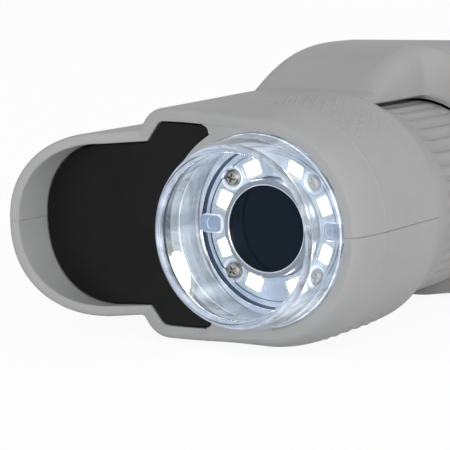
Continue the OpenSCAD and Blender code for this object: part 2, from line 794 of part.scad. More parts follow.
place() upper_shell();
place() lower_shell();
place() nose_panel();
place() contact_tube();
place() lamp_board();
place() lamps();
place() ring_screws();
place() lens_bezel();
place() objective_glass();
place() spacer_ring();
place() objective_lens();
place() rear_lens();
place() lens_carriage();
place() focus_pin();
place() guide_tube();
place() focus_ring();
place() sensor_mount();
place() ir_filter();
place() image_sensor();
place() sensor_board();
place() sensor_flex();
place() main_board();
place() board_chips();
place() display_window();
place() lcd_panel();
place() lcd_bracket();
place() lcd_flex();
place() key_board();
place() key_switches();
place() key_power();
place() key_menu();
place() key_capture();
place() key_up();
place() key_down();
place() battery_pack();
place() battery_contacts();
place() battery_door();
place() usb_socket();
place() card_socket();
place() port_cover();
place() port_pin();
place() tripod_bush();
place() case_screws();
place() board_screws();
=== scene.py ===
"""Looks of a handheld digital microscope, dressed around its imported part.

Every size is in millimetres in the lens frame: Y runs back along the lens axis from the face of
the collar, X points to the side with the lens, Z points up, and (0, 0, 0) lies on the lens axis.
A name that ends in SPAN holds the two distances between which a form changes.
"""

import json
from math import acos, cos, dist, hypot, pi, radians, sin, sqrt, tan

import bmesh
import bpy
from mathutils import Matrix, Vector


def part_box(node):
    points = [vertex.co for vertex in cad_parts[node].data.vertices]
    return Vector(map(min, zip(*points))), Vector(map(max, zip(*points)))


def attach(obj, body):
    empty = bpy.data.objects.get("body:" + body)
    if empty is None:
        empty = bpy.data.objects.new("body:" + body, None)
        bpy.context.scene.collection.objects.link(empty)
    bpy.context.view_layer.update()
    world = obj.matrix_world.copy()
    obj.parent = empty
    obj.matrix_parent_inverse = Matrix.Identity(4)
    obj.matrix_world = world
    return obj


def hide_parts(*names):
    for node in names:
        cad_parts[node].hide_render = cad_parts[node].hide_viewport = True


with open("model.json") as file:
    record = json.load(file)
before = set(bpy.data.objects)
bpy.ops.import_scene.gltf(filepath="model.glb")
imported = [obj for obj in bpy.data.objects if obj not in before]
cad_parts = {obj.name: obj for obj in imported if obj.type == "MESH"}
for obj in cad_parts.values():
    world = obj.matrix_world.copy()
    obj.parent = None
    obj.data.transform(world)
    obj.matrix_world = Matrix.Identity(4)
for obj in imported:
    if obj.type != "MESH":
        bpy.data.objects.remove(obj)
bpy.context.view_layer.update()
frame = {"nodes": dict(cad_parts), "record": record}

MM = 0.001

# Barrel and nose of the case
BODY_LEN = 165.0
WALL = 1.8
END_Y = BODY_LEN - WALL
BARREL_R = 22.2
BARREL_END_L = 1.6
BARREL_END_R = 0.3
COLLAR_R = 20.2
COLLAR_L = 3.0
COLLAR_START = radians(80)
COLLAR_TURN = radians(99.9)
BRIDGE_Y0 = 0.08
BRIDGE_Y1 = 2.2
BRIDGE_INSET = 0.8
BRIDGE_LAP = 1.2
DOME_LEN = 10.4
RIM_R = 0.9
RIM_DRAFT = 0.35
DRAFT_SPAN = (1, 12)
LOW_FACE = 23.1
LOW_AIR = 0.02
LOW_SQUARE = 0.06
LOW_SQUARE_SPAN = (2, 12)

# Deck, and the step from its edge down to the wing
DECK_X = 23.3
DECK_Z = 22.3
DECK_RISE = 1.2
DECK_FLARE = 0.5
FLARE_SPAN = (4, 40)
DECK_POWER = 1.25
STEP_W = 2.9
CORNER_R = 3.0
LEAST_CORNER_R = 0.6
CORNER_SHARE = 0.6
FOOT_TURN = 0.3
INNER_FOOT_TURN = 0.05

# Wing with the hood, on the side away from the lens
WING_TIP = 51.6
WING_C = 33.2
WING_H = 18.0
WING_D = 19.0
WING_GROWTH = 0.02
WING_RUN = 70
WING_BEND = 2 / 2.2
HOOD = 9.4
HOOD_FADE = 14.0

# Slants of the underside and the wing, which run out along the barrel
LOW_SLANT = 0.9
FOOT_SLANT = 0.8
CROWN_SLANT = 0.6
LOW_CROWN_SLANT = 0.3
SLANT_SPAN = (24, 60)

# Hump and rear of the case
HUMP_Y = 38.0
HUMP_POWER = 2.8
CREST_Y = 72.0
CREST_Z = 32.1
SLOPE_Y = 76.0
SLOPE = radians(14)
REAR_RIGHT = 24.5
REAR_LEFT = 52.3
REAR_SPAN = (62, 74)
MID_X = (REAR_RIGHT - REAR_LEFT) / 2
EDGE_R = 4.0
REAR_ROWS_Y = 100
SQUARE = 5
SQUARE_SPAN = (62, 84)
WING_UP_SPAN = (78, 96)
WING_DOWN_SPAN = (64, 84)
BELLY = 0.9
BELLY_SPAN = (26, 44)
BELLY_END_SPAN = (76, 92)

# Points along each part of the case's outline
ARC_N = 40
RUN_N = 10
CORNER_N = 14
FOOT_N = 4

# Raised line and grip dots on the barrel; a dot's profile is (radius, height)
BEAD_Y = 9.8
BEAD_W = 0.45
BEAD_H = 0.1
DOT_R = 0.45
DOT_H = 0.15
DOT_PROFILE = ((DOT_R, -0.1), (DOT_R, 0.0), (0.9 * DOT_R, 0.5 * DOT_H),
               (0.6 * DOT_R, 0.85 * DOT_H), (0.2 * DOT_R, DOT_H))
DOT_STEP = 2.1
DOT_X0 = -7.4
DOT_Y0 = 13.0
DOT_ROWS = 7
DOT_COLS = 14
DOT_END = radians(47)
DOT_LOW_AIR = 0.3

# Gap between the halves, and the shallow groove along it
PART_GAP = 0.02
PART_GROOVE = 0.12
PART_EDGE = 0.12

# Opening for the focus ring
RING_Y0 = 32.0
RING_Y1 = 64.0
SLOT_AIR = 0.3
SLOT_LIP = 0.9
SLOT_R = 21.7
SLOT_ANGLE = radians(75)
SLOT_RISE = radians(3)
SLOT_TURN = 6.0
SLOT_EDGE_W = 0.3
SLOT_EDGE_H = 0.25
FLANK_TURN = 6.0
LOW_EDGE_X = -12.0
LOW_EDGE_Z = 18.7
LOW_EDGE_R = 1.0
LOW_EDGE_COLS = 6
LOW_EDGE_N = 6

# Tube and panel at the nose
TUBE_OUT = 8.7
TUBE_IN_R = 15.4
TUBE_IN_ROOT_R = 16.6
TUBE_LIP_R = 17.0
TUBE_ROOT_R = 18.2
TUBE_HOLE_R = COLLAR_R - WALL
SLEEVE_Y = 0.6
SLEEVE_T = 0.6
FLOOR_Y = 6.0
FLOOR_T = 2.0
FLOOR_BORE = 9.6
FLOOR_BACK = FLOOR_Y + FLOOR_T
TAB_H = 0.7
TAB_W = 3.7
TAB_R0 = 10.9
TAB_R1 = 15.9
PEG_R = 1.25
PEG_SPOT_R = 12.3
PANEL_X = 10.0
PANEL_Y = 0.3
PANEL_T = 2.0
EAR_R = 1.2
EAR_TURN = 0.045
SLACK = 0.2

# Lamps and screws behind the tube's floor
LAMP_R = 11.8
LAMP_L = 2.8
LAMP_W = 3.5
LAMP_H = 1.7
LAMP_HOLE_L = 3.5
LAMP_HOLE_W = 4.2
LAMP_CORNER = 0.3
FACE_CORNER = 0.95
LAMP_ANGLES = [radians(22.5 + 45 * k) for k in range(8)]
SCREW_R = 12.6
SCREW_SEAT_Y = FLOOR_Y + 0.8
SCREW_WELL_R = 1.95
SCREW_MOUTH_R = 2.4
SCREW_HOLE_R = 0.95
RING_SCREW_HEAD = (1.6, 1.15, 1.0, 0.42, 0.6)
RING_SCREW_SHANK = (0.8, 4.4)
SCREW_ANGLES = [radians(45 + 90 * k) for k in range(4)]

# Lens front; a profile is (radius, y)
RIM_PROFILE = [(8.35, 4.2), (8.35, 3.6), (8.5, 3.5), (8.95, 3.5), (9.2, 3.6), (9.34, 3.85),
               (9.36, 8.4), (9.31, 8.4), (9.31, 4.2)]
RIM_EDGE_PROFILE = [(8.1, 4.2), (8.1, 3.7), (8.2, 3.48), (8.3, 3.42), (8.4, 3.48), (8.4, 4.2)]
GLASS_R = 8.25
GLASS_Y = 4.25
GLASS_BULGE = 0.55
GLASS_BACK = 6.2

# Focus ring
GRIP_COUNT = 40
RING_BORE = 17.0
RING_WAIST = 20.0
RING_FRONT = 22.0
RING_TAPER_SPAN = (-1, 13)
RING_GAP = 0.14
RING_EDGE = 0.2
RIB_DEPTH = 0.75
RIB_VALLEY = 0.34
RIB_COLS = 10
RIB_FRONT_SPAN = (4.0, 11.0)
RIB_REAR_SPAN = (1.0, 3.5)

# Display and keys, along the slope
SLOPE_LEN = (BODY_LEN - SLOPE_Y) / cos(SLOPE)
KEY_S = SLOPE_LEN - 12.2
KEY_COUNT = 5
KEY_STEP = 10.5
KEY_R = 3.8
KEY_GAP = 0.3
CAPTURE_R = 4.8
KEY_FOOT = -2.75
KEY_FLANGE_W = 0.5
KEY_FLANGE_T = 0.4
KEY_TOP = 1.0
KEY_EDGE_R = 0.45
KEY_DISH = 0.25
WINDOW_W = 61.0
WINDOW_S = 22.0
WINDOW_L = KEY_S - 11.5 - WINDOW_S
WINDOW_MID_S = WINDOW_S + WINDOW_L / 2
WINDOW_LEDGE = 6
WINDOW_GAP = 0.3

# Underside and rear end
DOOR_W = 38.0
DOOR_L = 64.0
DOOR_Y = 117.0
DOOR_T = 1.8
RIDGE_COUNT = 5
RIDGE_STEP = 2
RIDGE_L = 16
RIDGE_START = 7
BUSH_Y = 77.5
BUSH_R = 5.0
BUSH_TOP = -12.4
THREAD_TOP = -14
THREAD_R = 3.175
THREAD_PITCH = 1.27
THREAD_DEPTH = 0.55
SCREW_SEAT = -9.0
CASE_SCREW_HEAD = (2.5, 1.9, 1.5, 0.6, 1.0)
CASE_SCREW_SHANK = (1.25, 15.5)
WELL_R = 2.9
WELL_OUT_R = 4.2
WELL_MOUTH_R = 3.3
CASE_SPOTS = [(-38, 22), (-40, 74),
              (MID_X - 28.5, BODY_LEN - 10), (MID_X + 28.5, BODY_LEN - 10)]
PORT_W = 22.6
PORT_Z0 = -11.2
PORT_Z1 = -1.2
PORT_R = 1.1

# The lens frame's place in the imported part
tube_lo, tube_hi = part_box("contact_tube")
ORIGIN = Vector(((tube_lo.x + tube_hi.x) / 2, tube_lo.y + TUBE_OUT * MM,
                 (tube_lo.z + tube_hi.z) / 2))


def to_part(p):
    return ORIGIN + Vector(p) * MM


def clip(u):
    return max(0.0, min(1.0, u))


def mix(a, b, u):
    return a + (b - a) * u


def ease(a, b, y):
    u = clip((y - a) / (b - a))
    return u * u * (3 - 2 * u)


def steps(a, b, n):
    return [mix(a, b, i / n) for i in range(n + 1)]


def between(p, q, u):
    return tuple(mix(a, b, u) for a, b in zip(p, q))


def bow(p, c, q, n):
    """Points after p of a curve from p to q that bends towards c."""
    return [between(between(p, c, t), between(c, q, t), t) for t in steps(0, 1, n)[1:]]


def on_slope(x, s, h):
    """A point s down the rear slope and h above it."""
    return (x, SLOPE_Y + s * cos(SLOPE) + h * sin(SLOPE),
            CREST_Z - s * sin(SLOPE) + h * cos(SLOPE))


def round_axis(r, y, angle):
    return (r * cos(angle), y, r * sin(angle))


# Materials
def set_inputs(node, values):
    for key, value in values.items():
        node.inputs[key.replace("_", " ")].default_value = value


def add_node(tree, kind, **values):
    node = tree.nodes.new(kind)
    set_inputs(node, values)
    return node


def shader(name, color, rough, **values):
    """A new material with one surface shader, whose plain numbers sit on the shader itself."""
    mat = bpy.data.materials.new(name)
    mat.use_nodes = True
    bsdf = mat.node_tree.nodes["Principled BSDF"]
    set_inputs(bsdf, {"Base Color": (*color, 1), "Roughness": rough, **values})
    return mat


def noise_of(mat, scale, detail, stretch=(1, 1, 1)):
    tree = mat.node_tree
    coords = add_node(tree, "ShaderNodeTexCoord")
    mapping = add_node(tree, "ShaderNodeMapping", Scale=stretch)
    noise = add_node(tree, "ShaderNodeTexNoise", Scale=scale, Detail=detail)
    tree.links.new(coords.outputs["Object"], mapping.inputs["Vector"])
    tree.links.new(mapping.outputs["Vector"], noise.inputs["Vector"])
    return noise


def vary_color(mat, scale, spread):
    """The base colour drifts by a share either way, as moulded or printed material does."""
    tree = mat.node_tree
    bsdf = tree.nodes["Principled BSDF"]
    base = bsdf.inputs["Base Color"].default_value[:3]
    noise = noise_of(mat, scale, 4.0)
    ramp = add_node(tree, "ShaderNodeValToRGB")
    ramp.color_ramp.elements[0].position = 0.3
    ramp.color_ramp.elements[1].position = 0.7
    for element, share in zip(ramp.color_ramp.elements, (1 - spread, 1 + spread)):
        element.color = (*[min(1.0, c * share) for c in base], 1)
    tree.links.new(noise.outputs["Fac"], ramp.inputs["Fac"])
    tree.links.new(ramp.outputs["Color"], bsdf.inputs["Base Color"])


def set_by_noise(mat, socket, noise, start, end, low, high):
    """The noise between start and end moves one of the shader's inputs from low to high."""
    tree = mat.node_tree
    span = add_node(tree, "ShaderNodeMapRange", From_Min=start, From_Max=end, To_Min=low, To_Max=high)
    tree.links.new(noise.outputs["Fac"], span.inputs["Value"])
    tree.links.new(span.outputs["Result"], tree.nodes["Principled BSDF"].inputs[socket])


def vary_rough(mat, scale, low, high):
    set_by_noise(mat, "Roughness", noise_of(mat, scale, 2.0), 0.0, 1.0, low, high)


def add_grain(mat, scale, depth, strength):
    """Fine relief; depth is in millimetres."""
    tree = mat.node_tree
    noise = noise_of(mat, scale, 2.0)
    bump = add_node(tree, "ShaderNodeBump", Strength=strength, Distance=depth * MM)
    tree.links.new(noise.outputs["Fac"], bump.inputs["Height"])
    tree.links.new(bump.outputs["Normal"], tree.nodes["Principled BSDF"].inputs["Normal"])


def plastic(name, color, rough, grain=0.02, spread=0.03, **values):
    mat = shader(name, color, rough, **values)
    vary_color(mat, 90, spread)
    vary_rough(mat, 700, rough - 0.05, rough + 0.05)
    add_grain(mat, 2600, grain, 0.5)
    return mat


def metal(name, color, rough, spread=0.05):
    mat = shader(name, color, rough, Metallic=1.0)
    vary_color(mat, 300, spread)
    vary_rough(mat, 900, rough - 0.06, rough + 0.08)
    add_grain(mat, 1800, 0.01, 0.4)
    return mat


def painted_glow_streaks(mat, low, high):
    """Painted glow: emission in streaks along the wall's length, standing in for light caught in the clear
    wall.
    """
    set_by_noise(mat, "Emission Strength", noise_of(mat, 300, 2.0, (1, 0.15, 1)), 0.47, 0.72, low, high)


def let_lamps_through(mat):
    """Rays from lamps pass the clear material, so what stands behind it is lit."""
    tree = mat.node_tree
    out = tree.nodes["Material Output"]
    path = add_node(tree, "ShaderNodeLightPath")
    through = add_node(tree, "ShaderNodeBsdfTransparent", Color=(0.9, 0.93, 0.96, 1))
    either = add_node(tree, "ShaderNodeMixShader")
    tree.links.new(path.outputs["Is Shadow Ray"], either.inputs["Fac"])
    tree.links.new(tree.nodes["Principled BSDF"].outputs["BSDF"], either.inputs[1])
    tree.links.new(through.outputs["BSDF"], either.inputs[2])
    tree.links.new(either.outputs["Shader"], out.inputs["Surface"])


# Clear tube; its streaked emission is painted glow, standing in for lamp light carried in the wall.
clear = shader("clear_tube", (0.86, 0.915, 0.97), 0.03, IOR=1.49, Transmission_Weight=0.95,
               Emission_Color=(0.84, 0.91, 1.0, 1))
vary_rough(clear, 500, 0.0, 0.03)
painted_glow_streaks(clear, 0.0, 0.14)
let_lamps_through(clear)
# Painted shade: a dark tinted clear for the tube's groove, gutter and inner lip, where the clear wall looks
# dark.
painted_shade_edge = shader("clear_edge_dark", (0.03, 0.05, 0.09), 0.08, IOR=1.49, Transmission_Weight=0.3)
vary_rough(painted_shade_edge, 400, 0.04, 0.12)
# Painted highlight: a pale clear with streaked painted glow for tube edges that catch the light: the root,
# the screw wells and the tabs' sides.
painted_highlight_edge = shader("clear_edge_light", (0.9, 0.95, 1.0), 0.1, IOR=1.49, Transmission_Weight=0.6,
                    Emission_Color=(0.9, 0.95, 1.0, 1))
painted_glow_streaks(painted_highlight_edge, 0.15, 0.9)
tab_blue = shader("clear_tab", (0.3, 0.38, 0.52), 0.12, IOR=1.49, Transmission_Weight=0.35)
vary_color(tab_blue, 500, 0.15)
phosphor = shader("lamp_glow", (0.9, 0.88, 0.7), 0.5, Emission_Strength=22.0,
                  Emission_Color=(0.96, 0.98, 1.0, 1))
vary_color(phosphor, 2000, 0.06)
screw_grey = metal("screw_grey", (0.36, 0.35, 0.33), 0.3, spread=0.2)
rim_grey = plastic("rim_grey", (0.22, 0.25, 0.3), 0.35)
front_glass = shader("front_glass", (0.005, 0.009, 0.015), 0.06, Specular_IOR_Level=0.12,
                     Specular_Tint=(0.55, 0.7, 1.0, 1))
vary_rough(front_glass, 60, 0.04, 0.1)
optic_glass = shader("optic_glass", (0.9, 0.95, 1.0), 0.02, IOR=1.52, Transmission_Weight=1.0)
vary_rough(optic_glass, 200, 0.0, 0.03)
display_glass = shader("display_glass", (0.012, 0.014, 0.018), 0.08, Coat_Weight=0.5)
vary_rough(display_glass, 40, 0.05, 0.12)

SLOTS = {
    "shell": plastic("shell_grey", (0.345, 0.345, 0.345), 0.55, grain=0.015, Specular_IOR_Level=0.12),
    "grip": plastic("grip_grey", (0.335, 0.335, 0.335), 0.6, Specular_IOR_Level=0.12),
    "panel": plastic("panel_black", (0.0095, 0.0095, 0.0095), 0.45, grain=0.012, spread=0.15,
                     Specular_IOR_Level=0.08),
    "clear": clear,
    "lamp": plastic("lamp_cup", (0.8, 0.82, 0.66), 0.4, Emission_Strength=0.9,
                    Emission_Color=(0.88, 0.97, 0.6, 1)),
    # The lamp board's faint emission is painted light: the board as lit by the lamps standing on it.
    "lamp_board": plastic("lamp_board_painted_glow", (0.4, 0.44, 0.5), 0.45, Emission_Strength=0.3,
                          Emission_Color=(0.8, 0.88, 1.0, 1)),
    "steel": metal("steel", (0.56, 0.55, 0.53), 0.32),
    "bezel": metal("bezel_silver", (0.78, 0.8, 0.83), 0.16),
    "front_glass": front_glass,
    "optic_glass": optic_glass,
    "black_metal": metal("black_metal", (0.05, 0.05, 0.055), 0.45),
    "guide": plastic("guide_dark", (0.09, 0.09, 0.095), 0.5),
    "chip": plastic("chip_black", (0.02, 0.02, 0.022), 0.55),
    "board": plastic("board_green", (0.02, 0.12, 0.05), 0.4, spread=0.12),
    "flex": plastic("flex_amber", (0.5, 0.22, 0.04), 0.35),
    "display_glass": display_glass,
    "lcd": plastic("lcd_grey", (0.12, 0.13, 0.15), 0.3),
    "switch": plastic("switch_dark", (0.05, 0.05, 0.05), 0.5),
    "key_red": plastic("key_red", (0.42, 0.03, 0.025), 0.42),
    "key_dark": plastic("key_dark", (0.06, 0.06, 0.065), 0.5),
    "key_light": plastic("key_light", (0.58, 0.58, 0.57), 0.42),
    "battery": plastic("battery_wrap", (0.03, 0.09, 0.28), 0.3),
    "brass": metal("brass", (0.66, 0.47, 0.2), 0.3),
    "flap": plastic("flap_rubber", (0.05, 0.05, 0.052), 0.68, grain=0.03),
}


class Skin:
    """Rows of points and the faces between them, in the lens frame."""

    def __init__(self):
        self.points = []
        self.faces = []

    def row(self, points):
        start = len(self.points)
        self.points.extend(points)
        return list(range(start, start + len(points)))

    def strip(self, a, b, closed=False):
        n = len(a)
        for i in range(n if closed else n - 1):
            j = (i + 1) % n
            self.faces.append((a[i], a[j], b[j], b[i]))

    def loft(self, rows, ends="cap"):
        """Closed rows one after the other; the two ends get a face each, or join each other."""
        ids = [self.row(r) for r in rows]
        for a, b in zip(ids, ids[1:]):
            self.strip(a, b, closed=True)
        if ends == "cap":
            self.faces.append(tuple(ids[0]))
            self.faces.append(tuple(ids[-1]))
        elif ends == "join":
            self.strip(ids[-1], ids[0], closed=True)

    def mesh(self, name):
        made = bpy.data.meshes.new(name)
        made.from_pydata([to_part(p) for p in self.points], [], self.faces)
        bm = bmesh.new()
        bm.from_mesh(made)
        bmesh.ops.remove_doubles(bm, verts=bm.verts, dist=1e-7)
        bmesh.ops.dissolve_degenerate(bm, edges=bm.edges, dist=1e-8)
        bmesh.ops.recalc_face_normals(bm, faces=bm.faces)
        bm.to_mesh(made)
        bm.free()
        return made

    def object(self, name):
        obj = bpy.data.objects.new(name, self.mesh(name))
        bpy.context.collection.objects.link(obj)
        return obj


def cut(obj, tool, operation="DIFFERENCE"):
    """Cuts tool out of obj, or joins it to obj, for good."""
    mod = obj.modifiers.new("cut", "BOOLEAN")
    mod.operation = operation
    mod.object = tool
    mod.solver = "EXACT"
    bpy.context.view_layer.update()
    made = bpy.data.meshes.new_from_object(obj.evaluated_get(bpy.context.evaluated_depsgraph_get()))
    obj.modifiers.clear()
    old, obj.data = obj.data, made
    bpy.data.meshes.remove(old)
    bpy.data.objects.remove(tool)


def join(obj, other):
    """Adds another object's mesh to obj."""
    bm = bmesh.new()
    bm.from_mesh(obj.data)
    bm.from_mesh(other.data)
    bm.to_mesh(obj.data)
    bm.free()
    mesh = other.data
    bpy.data.objects.remove(other)
    bpy.data.meshes.remove(mesh)


def bevel(obj, width):
    mod = obj.modifiers.new("edge", "BEVEL")
    mod.width = width * MM
    mod.segments = 3
    mod.limit_method = "ANGLE"
    mod.angle_limit = radians(40)
    mod.harden_normals = False


def dress(obj, body, slot, *nodes, mats=None, angle=35):
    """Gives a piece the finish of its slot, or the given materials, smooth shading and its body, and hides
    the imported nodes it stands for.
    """
    obj.data.materials.clear()
    for mat in mats or [SLOTS[slot]]:
        obj.data.materials.append(mat)
    obj.data.shade_smooth()
    obj.data.set_sharp_from_angle(angle=radians(angle))
    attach(obj, body)
    if nodes:
        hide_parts(*nodes)


def lathe(skin, profile, segments, start=0.0, turn=2 * pi):
    """A closed (radius, y) profile turned about the lens axis."""
    whole = abs(turn - 2 * pi) < 1e-6
    angles = [start + turn * i / segments for i in range(segments if whole else segments + 1)]
    rows = [[round_axis(r, y, a) for r, y in profile] for a in angles]
    skin.loft(rows, ends="join" if whole else "cap")
    return skin


def rounded_rect(w, l, r, n=6):
    """Outline of a w by l rectangle about (0, 0) with corner radius r."""
    points = []
    for cx, cy, a0 in ((1, 1, 0), (-1, 1, 90), (-1, -1, 180), (1, -1, 270)):
        for k in steps(a0, a0 + 90, n):
            a = radians(k)
            points.append((cx * (w / 2 - r) + r * cos(a), cy * (l / 2 - r) + r * sin(a)))
    return points


def disc(r, n=64):
    return [(r * cos(2 * pi * i / n), r * sin(2 * pi * i / n)) for i in range(n)]


def stack(layers, where):
    """Rows from (outline, height) layers, placed by where(u, v, height)."""
    skin = Skin()
    skin.loft([[where(u, v, h) for u, v in outline] for outline, h in layers])
    return skin


def solid(name, rows, ends="cap"):
    """An object lofted through closed rows."""
    skin = Skin()
    skin.loft(rows, ends)
    return skin.object(name)


# Outline of the case as functions of the distance behind the collar's face
def top_z(y):
    if y < HUMP_Y:
        return DECK_Z + DECK_RISE * y / HUMP_Y
    if y < CREST_Y:
        u = (y - HUMP_Y) / (CREST_Y - HUMP_Y)
        return mix(DECK_Z + DECK_RISE, CREST_Z, 1 - (1 - u) ** HUMP_POWER)
    if y < SLOPE_Y:
        return CREST_Z
    return CREST_Z - (y - SLOPE_Y) * tan(SLOPE)


def dome(y):
    """0 at the collar, 1 where the barrel has its full size."""
    return 1.0 if y >= DOME_LEN else sqrt(1 - ((DOME_LEN - y) / DOME_LEN) ** 2)


def tail(y):
    """How far the rounded rear edge draws the outline in."""
    s = y - (BODY_LEN - EDGE_R)
    return 0.0 if s <= 0 else EDGE_R - sqrt(max(0.0, EDGE_R ** 2 - s * s))


def bead(y):
    """Fine raised line where the dome of the nose ends."""
    return BEAD_H * max(0.0, 1 - ((y - BEAD_Y) / BEAD_W) ** 2)


def right_x(y):
    return mix(COLLAR_R, BARREL_R, dome(y)) + bead(y) + (REAR_RIGHT - BARREL_R) * ease(*REAR_SPAN, y)


def power(y):
    """Exponent of the section's curve: 2 is round, and more is squarer."""
    return 2 + SQUARE * ease(*SQUARE_SPAN, y)


def side_power(y, up):
    return power(y) if up else max(power(y), 2 + LOW_SQUARE * ease(*LOW_SQUARE_SPAN, y))


def belly(y):
    """How much the round side rises from the flat underside along the focus ring."""
    return BELLY * ease(*BELLY_SPAN, y) * (1 - ease(*BELLY_END_SPAN, y))


def slant(y):
    """1 at the nose, where the deck and wings slope, falling to 0 along the barrel."""
    return 1 - ease(*SLANT_SPAN, y)


def deck_at(y):
    return DECK_X + DECK_FLARE * ease(*FLARE_SPAN, y)


def lip(y, d):
    """How far the mouth draws in: rounded on the outside, drafted on the inside."""
    if d > 0:
        return RIM_DRAFT * (1 - ease(*DRAFT_SPAN, y))
    return 0.0 if y >= RIM_R else RIM_R - sqrt(RIM_R ** 2 - (RIM_R - y) ** 2)


def wing_x(y):
    return mix(WING_TIP, REAR_LEFT, clip(y / WING_RUN))


def wing_z(y, up):
    if up:
        return mix(WING_H + WING_GROWTH * y, top_z(y), ease(*WING_UP_SPAN, y))
    return mix(WING_D + WING_GROWTH * y, LOW_FACE, ease(*WING_DOWN_SPAN, y))


def hood_y(x, y):
    """How far the hood brings a point of the wing forward."""
    reach = max(0.0, -x - DECK_X - STEP_W) / (WING_TIP - DECK_X - STEP_W)
    return -HOOD * reach * (1 - clip(y / HOOD_FADE))


def half_outline(y, d, up):
    """(x, height) points d inside the skin, from the right parting line to the left one."""
    inset = d + tail(y)
    mouth = inset + lip(y, d)
    side = right_x(y) - inset
    deck = (top_z(y) if up else LOW_FACE - LOW_AIR) - mouth - (lip(y, d) if d > 0 else 0)
    crest = mix(COLLAR_R - inset, deck, dome(y)) + (bead(y) if up else -belly(y))
    deck -= 0 if up else LOW_SLANT * slant(y)
    wing = wing_z(y, up) - mouth
    ledge = wing - (0 if up else FOOT_SLANT * slant(y))
    crown = wing - (CROWN_SLANT if up else LOW_CROWN_SLANT) * slant(y)
    tip = wing_x(y) - mouth - WING_C
    groove = PART_GROOVE if d == 0 else 0.0
    # Round side of the barrel
    bend = 2 / side_power(y, up)
    points = [(side - groove, PART_GAP), (side, PART_EDGE)]
    for k in steps(0, pi / 2, ARC_N)[1:]:
        points.append((side * max(0.0, cos(k)) ** bend, crest * sin(k) ** bend))
    # Deck
    edge = deck_at(y) - d
    corner_r = max(LEAST_CORNER_R, CORNER_R - d)
    run = edge - corner_r
    for u in steps(0, 1, RUN_N)[1:-1]:
        points.append((-u * run, crest + (deck - crest) * (1 - (1 - u ** DECK_POWER) ** 2)))
    points.append((-run, deck))
    # Step
    corner, foot = (-edge, deck), (-edge - STEP_W, ledge)
    fall = between(corner, foot, min(CORNER_SHARE, corner_r / dist(corner, foot)))
    points += bow(points[-1], corner, fall, CORNER_N)
    turn = FOOT_TURN if d == 0 else INNER_FOOT_TURN
    points += [between(fall, foot, u) for u in (0.35, 1 - turn)]
    points += bow(points[-1], foot, (foot[0] - 3 * turn, ledge), FOOT_N)
    # Wing
    bend = min(2 / power(y), WING_BEND)
    for k in steps(0, pi / 2, ARC_N)[:-1]:
        points.append((-WING_C - tip * sin(k) ** bend, crown * cos(k) ** bend))
    points += [(-WING_C - tip, PART_EDGE), (-WING_C - tip + groove, PART_GAP)]
    return points


def slot_angle(y):
    """Where the hump's flank ends above the focus ring; it drops to the parting line at the rear end."""
    u = clip((y - (RING_Y1 - SLOT_TURN)) / SLOT_TURN)
    angle = SLOT_ANGLE + SLOT_RISE * clip((y - RING_Y0) / (RING_Y1 - RING_Y0))
    return angle * (1 - u ** 3) ** (1 / 3)


def flank(y, d):
    """Side of the upper half along the focus ring, in place of the round side of the barrel."""
    angle = slot_angle(y)
    reach = max(ring_base(y) + SLOT_AIR, SLOT_R)
    x, z = reach * cos(angle) - d, reach * sin(angle)
    if d > 0:
        z = min(z, sqrt(max(0.0, (ring_base(y) + SLOT_LIP) ** 2 - x * x)))
    a, q, p = right_x(y) - d, top_z(y) - d, side_power(y, True)

    def base(x):
        return q * max(0.0, 1 - (max(0.0, x) / a) ** p) ** (1 / p)

    top = max(base(x), z + 0.3)
    turn = min(FLANK_TURN, 0.8 * (top - z))
    across = min(turn, 0.85 * x)
    points = [(x - SLOT_EDGE_W, z), (x, z + SLOT_EDGE_H)]
    points += [(x, h) for h in steps(z + SLOT_EDGE_H, top - turn, 4)[1:]]
    points += bow(points[-1], (x, top), (x - across, max(base(x - across), z + 0.2)), 16)
    rest = ARC_N + 2 - len(points)
    points += [(g, base(g)) for g in steps(x - across, 0, rest)[1:]]
    return points


def low_flank(d):
    """Edge of the lower half along the focus ring."""
    x, floor = LOW_EDGE_X - d, LOW_FACE - d
    start = floor - LOW_EDGE_R
    count = ARC_N + 2 + LOW_EDGE_COLS - LOW_EDGE_N
    curve = bow((x, start), (x, floor), (x - LOW_EDGE_R, floor), LOW_EDGE_N)
    return [(x, h) for h in steps(LOW_EDGE_Z, start, count - 1)] + curve


def outline_row(y, at, d, up, neck):
    """Row of points at a distance, d inside the skin; neck is true along the focus ring."""
    points = half_outline(y, d, up)
    if neck:
        side = flank(y, d) if up else low_flank(d)
        points = side + points[len(side):]
    return [(x, at + hood_y(x, y), z if up else -z) for x, z in points]


def case_rows():
    """Rows of the case as (outer y, inner y, neck, inner depth)."""
    rows = [(0, 0, False, WALL - 0.3), (0.05, 0.04, False, WALL - 0.15), (0.15, 0.13, False, WALL - 0.05)]
    nose = (0.3, 0.55, RIM_R, 1.6, 2.6, 4, 6, 8, 9.1, 9.4, 9.6, 9.8, 10, 10.2, DOME_LEN, 11.4, 13, 15, 18,
            21, 24, 26.5)
    rows += [(y, y, False, WALL) for y in nose]
    barrel = ((28.5, 28), (30, 29), (31, 29.6), (RING_Y0 - 0.01, 30.19))
    rows += [(y, inner, False, WALL) for y, inner in barrel]
    rows.append((RING_Y0, 30.2, True, WALL))
    hump = (33, 34.5, 36, 37, 38, 38.6, 39.3, *range(40, 51), 51.5, 53, 54.5, 56, 57.5, 59, 60, 60.8)
    slot_end = (61.5, 62.1, 62.6, 63, 63.35, 63.6, 63.8, 63.93)
    rows += [(y, y, True, WALL) for y in hump + slot_end]
    rows.append((RING_Y1, RING_Y1 + 0.99 * WALL, True, WALL))
    rows.append((RING_Y1 + 0.01, RING_Y1 + WALL, False, WALL))
    rows += [(y, max(y, RING_Y1 + WALL + 0.3), False, WALL) for y in range(66, 98, 2)]
    rear = [102, 110, 120, 130, 140, 150, 157]
    rear += [BODY_LEN - EDGE_R * (1 - t) for t in (0, 0.2, 0.38, 0.55, 0.7, 0.82, 0.91, 0.97, 1)]
    rows += [(y, y, False, WALL) for y in rear]
    return rows


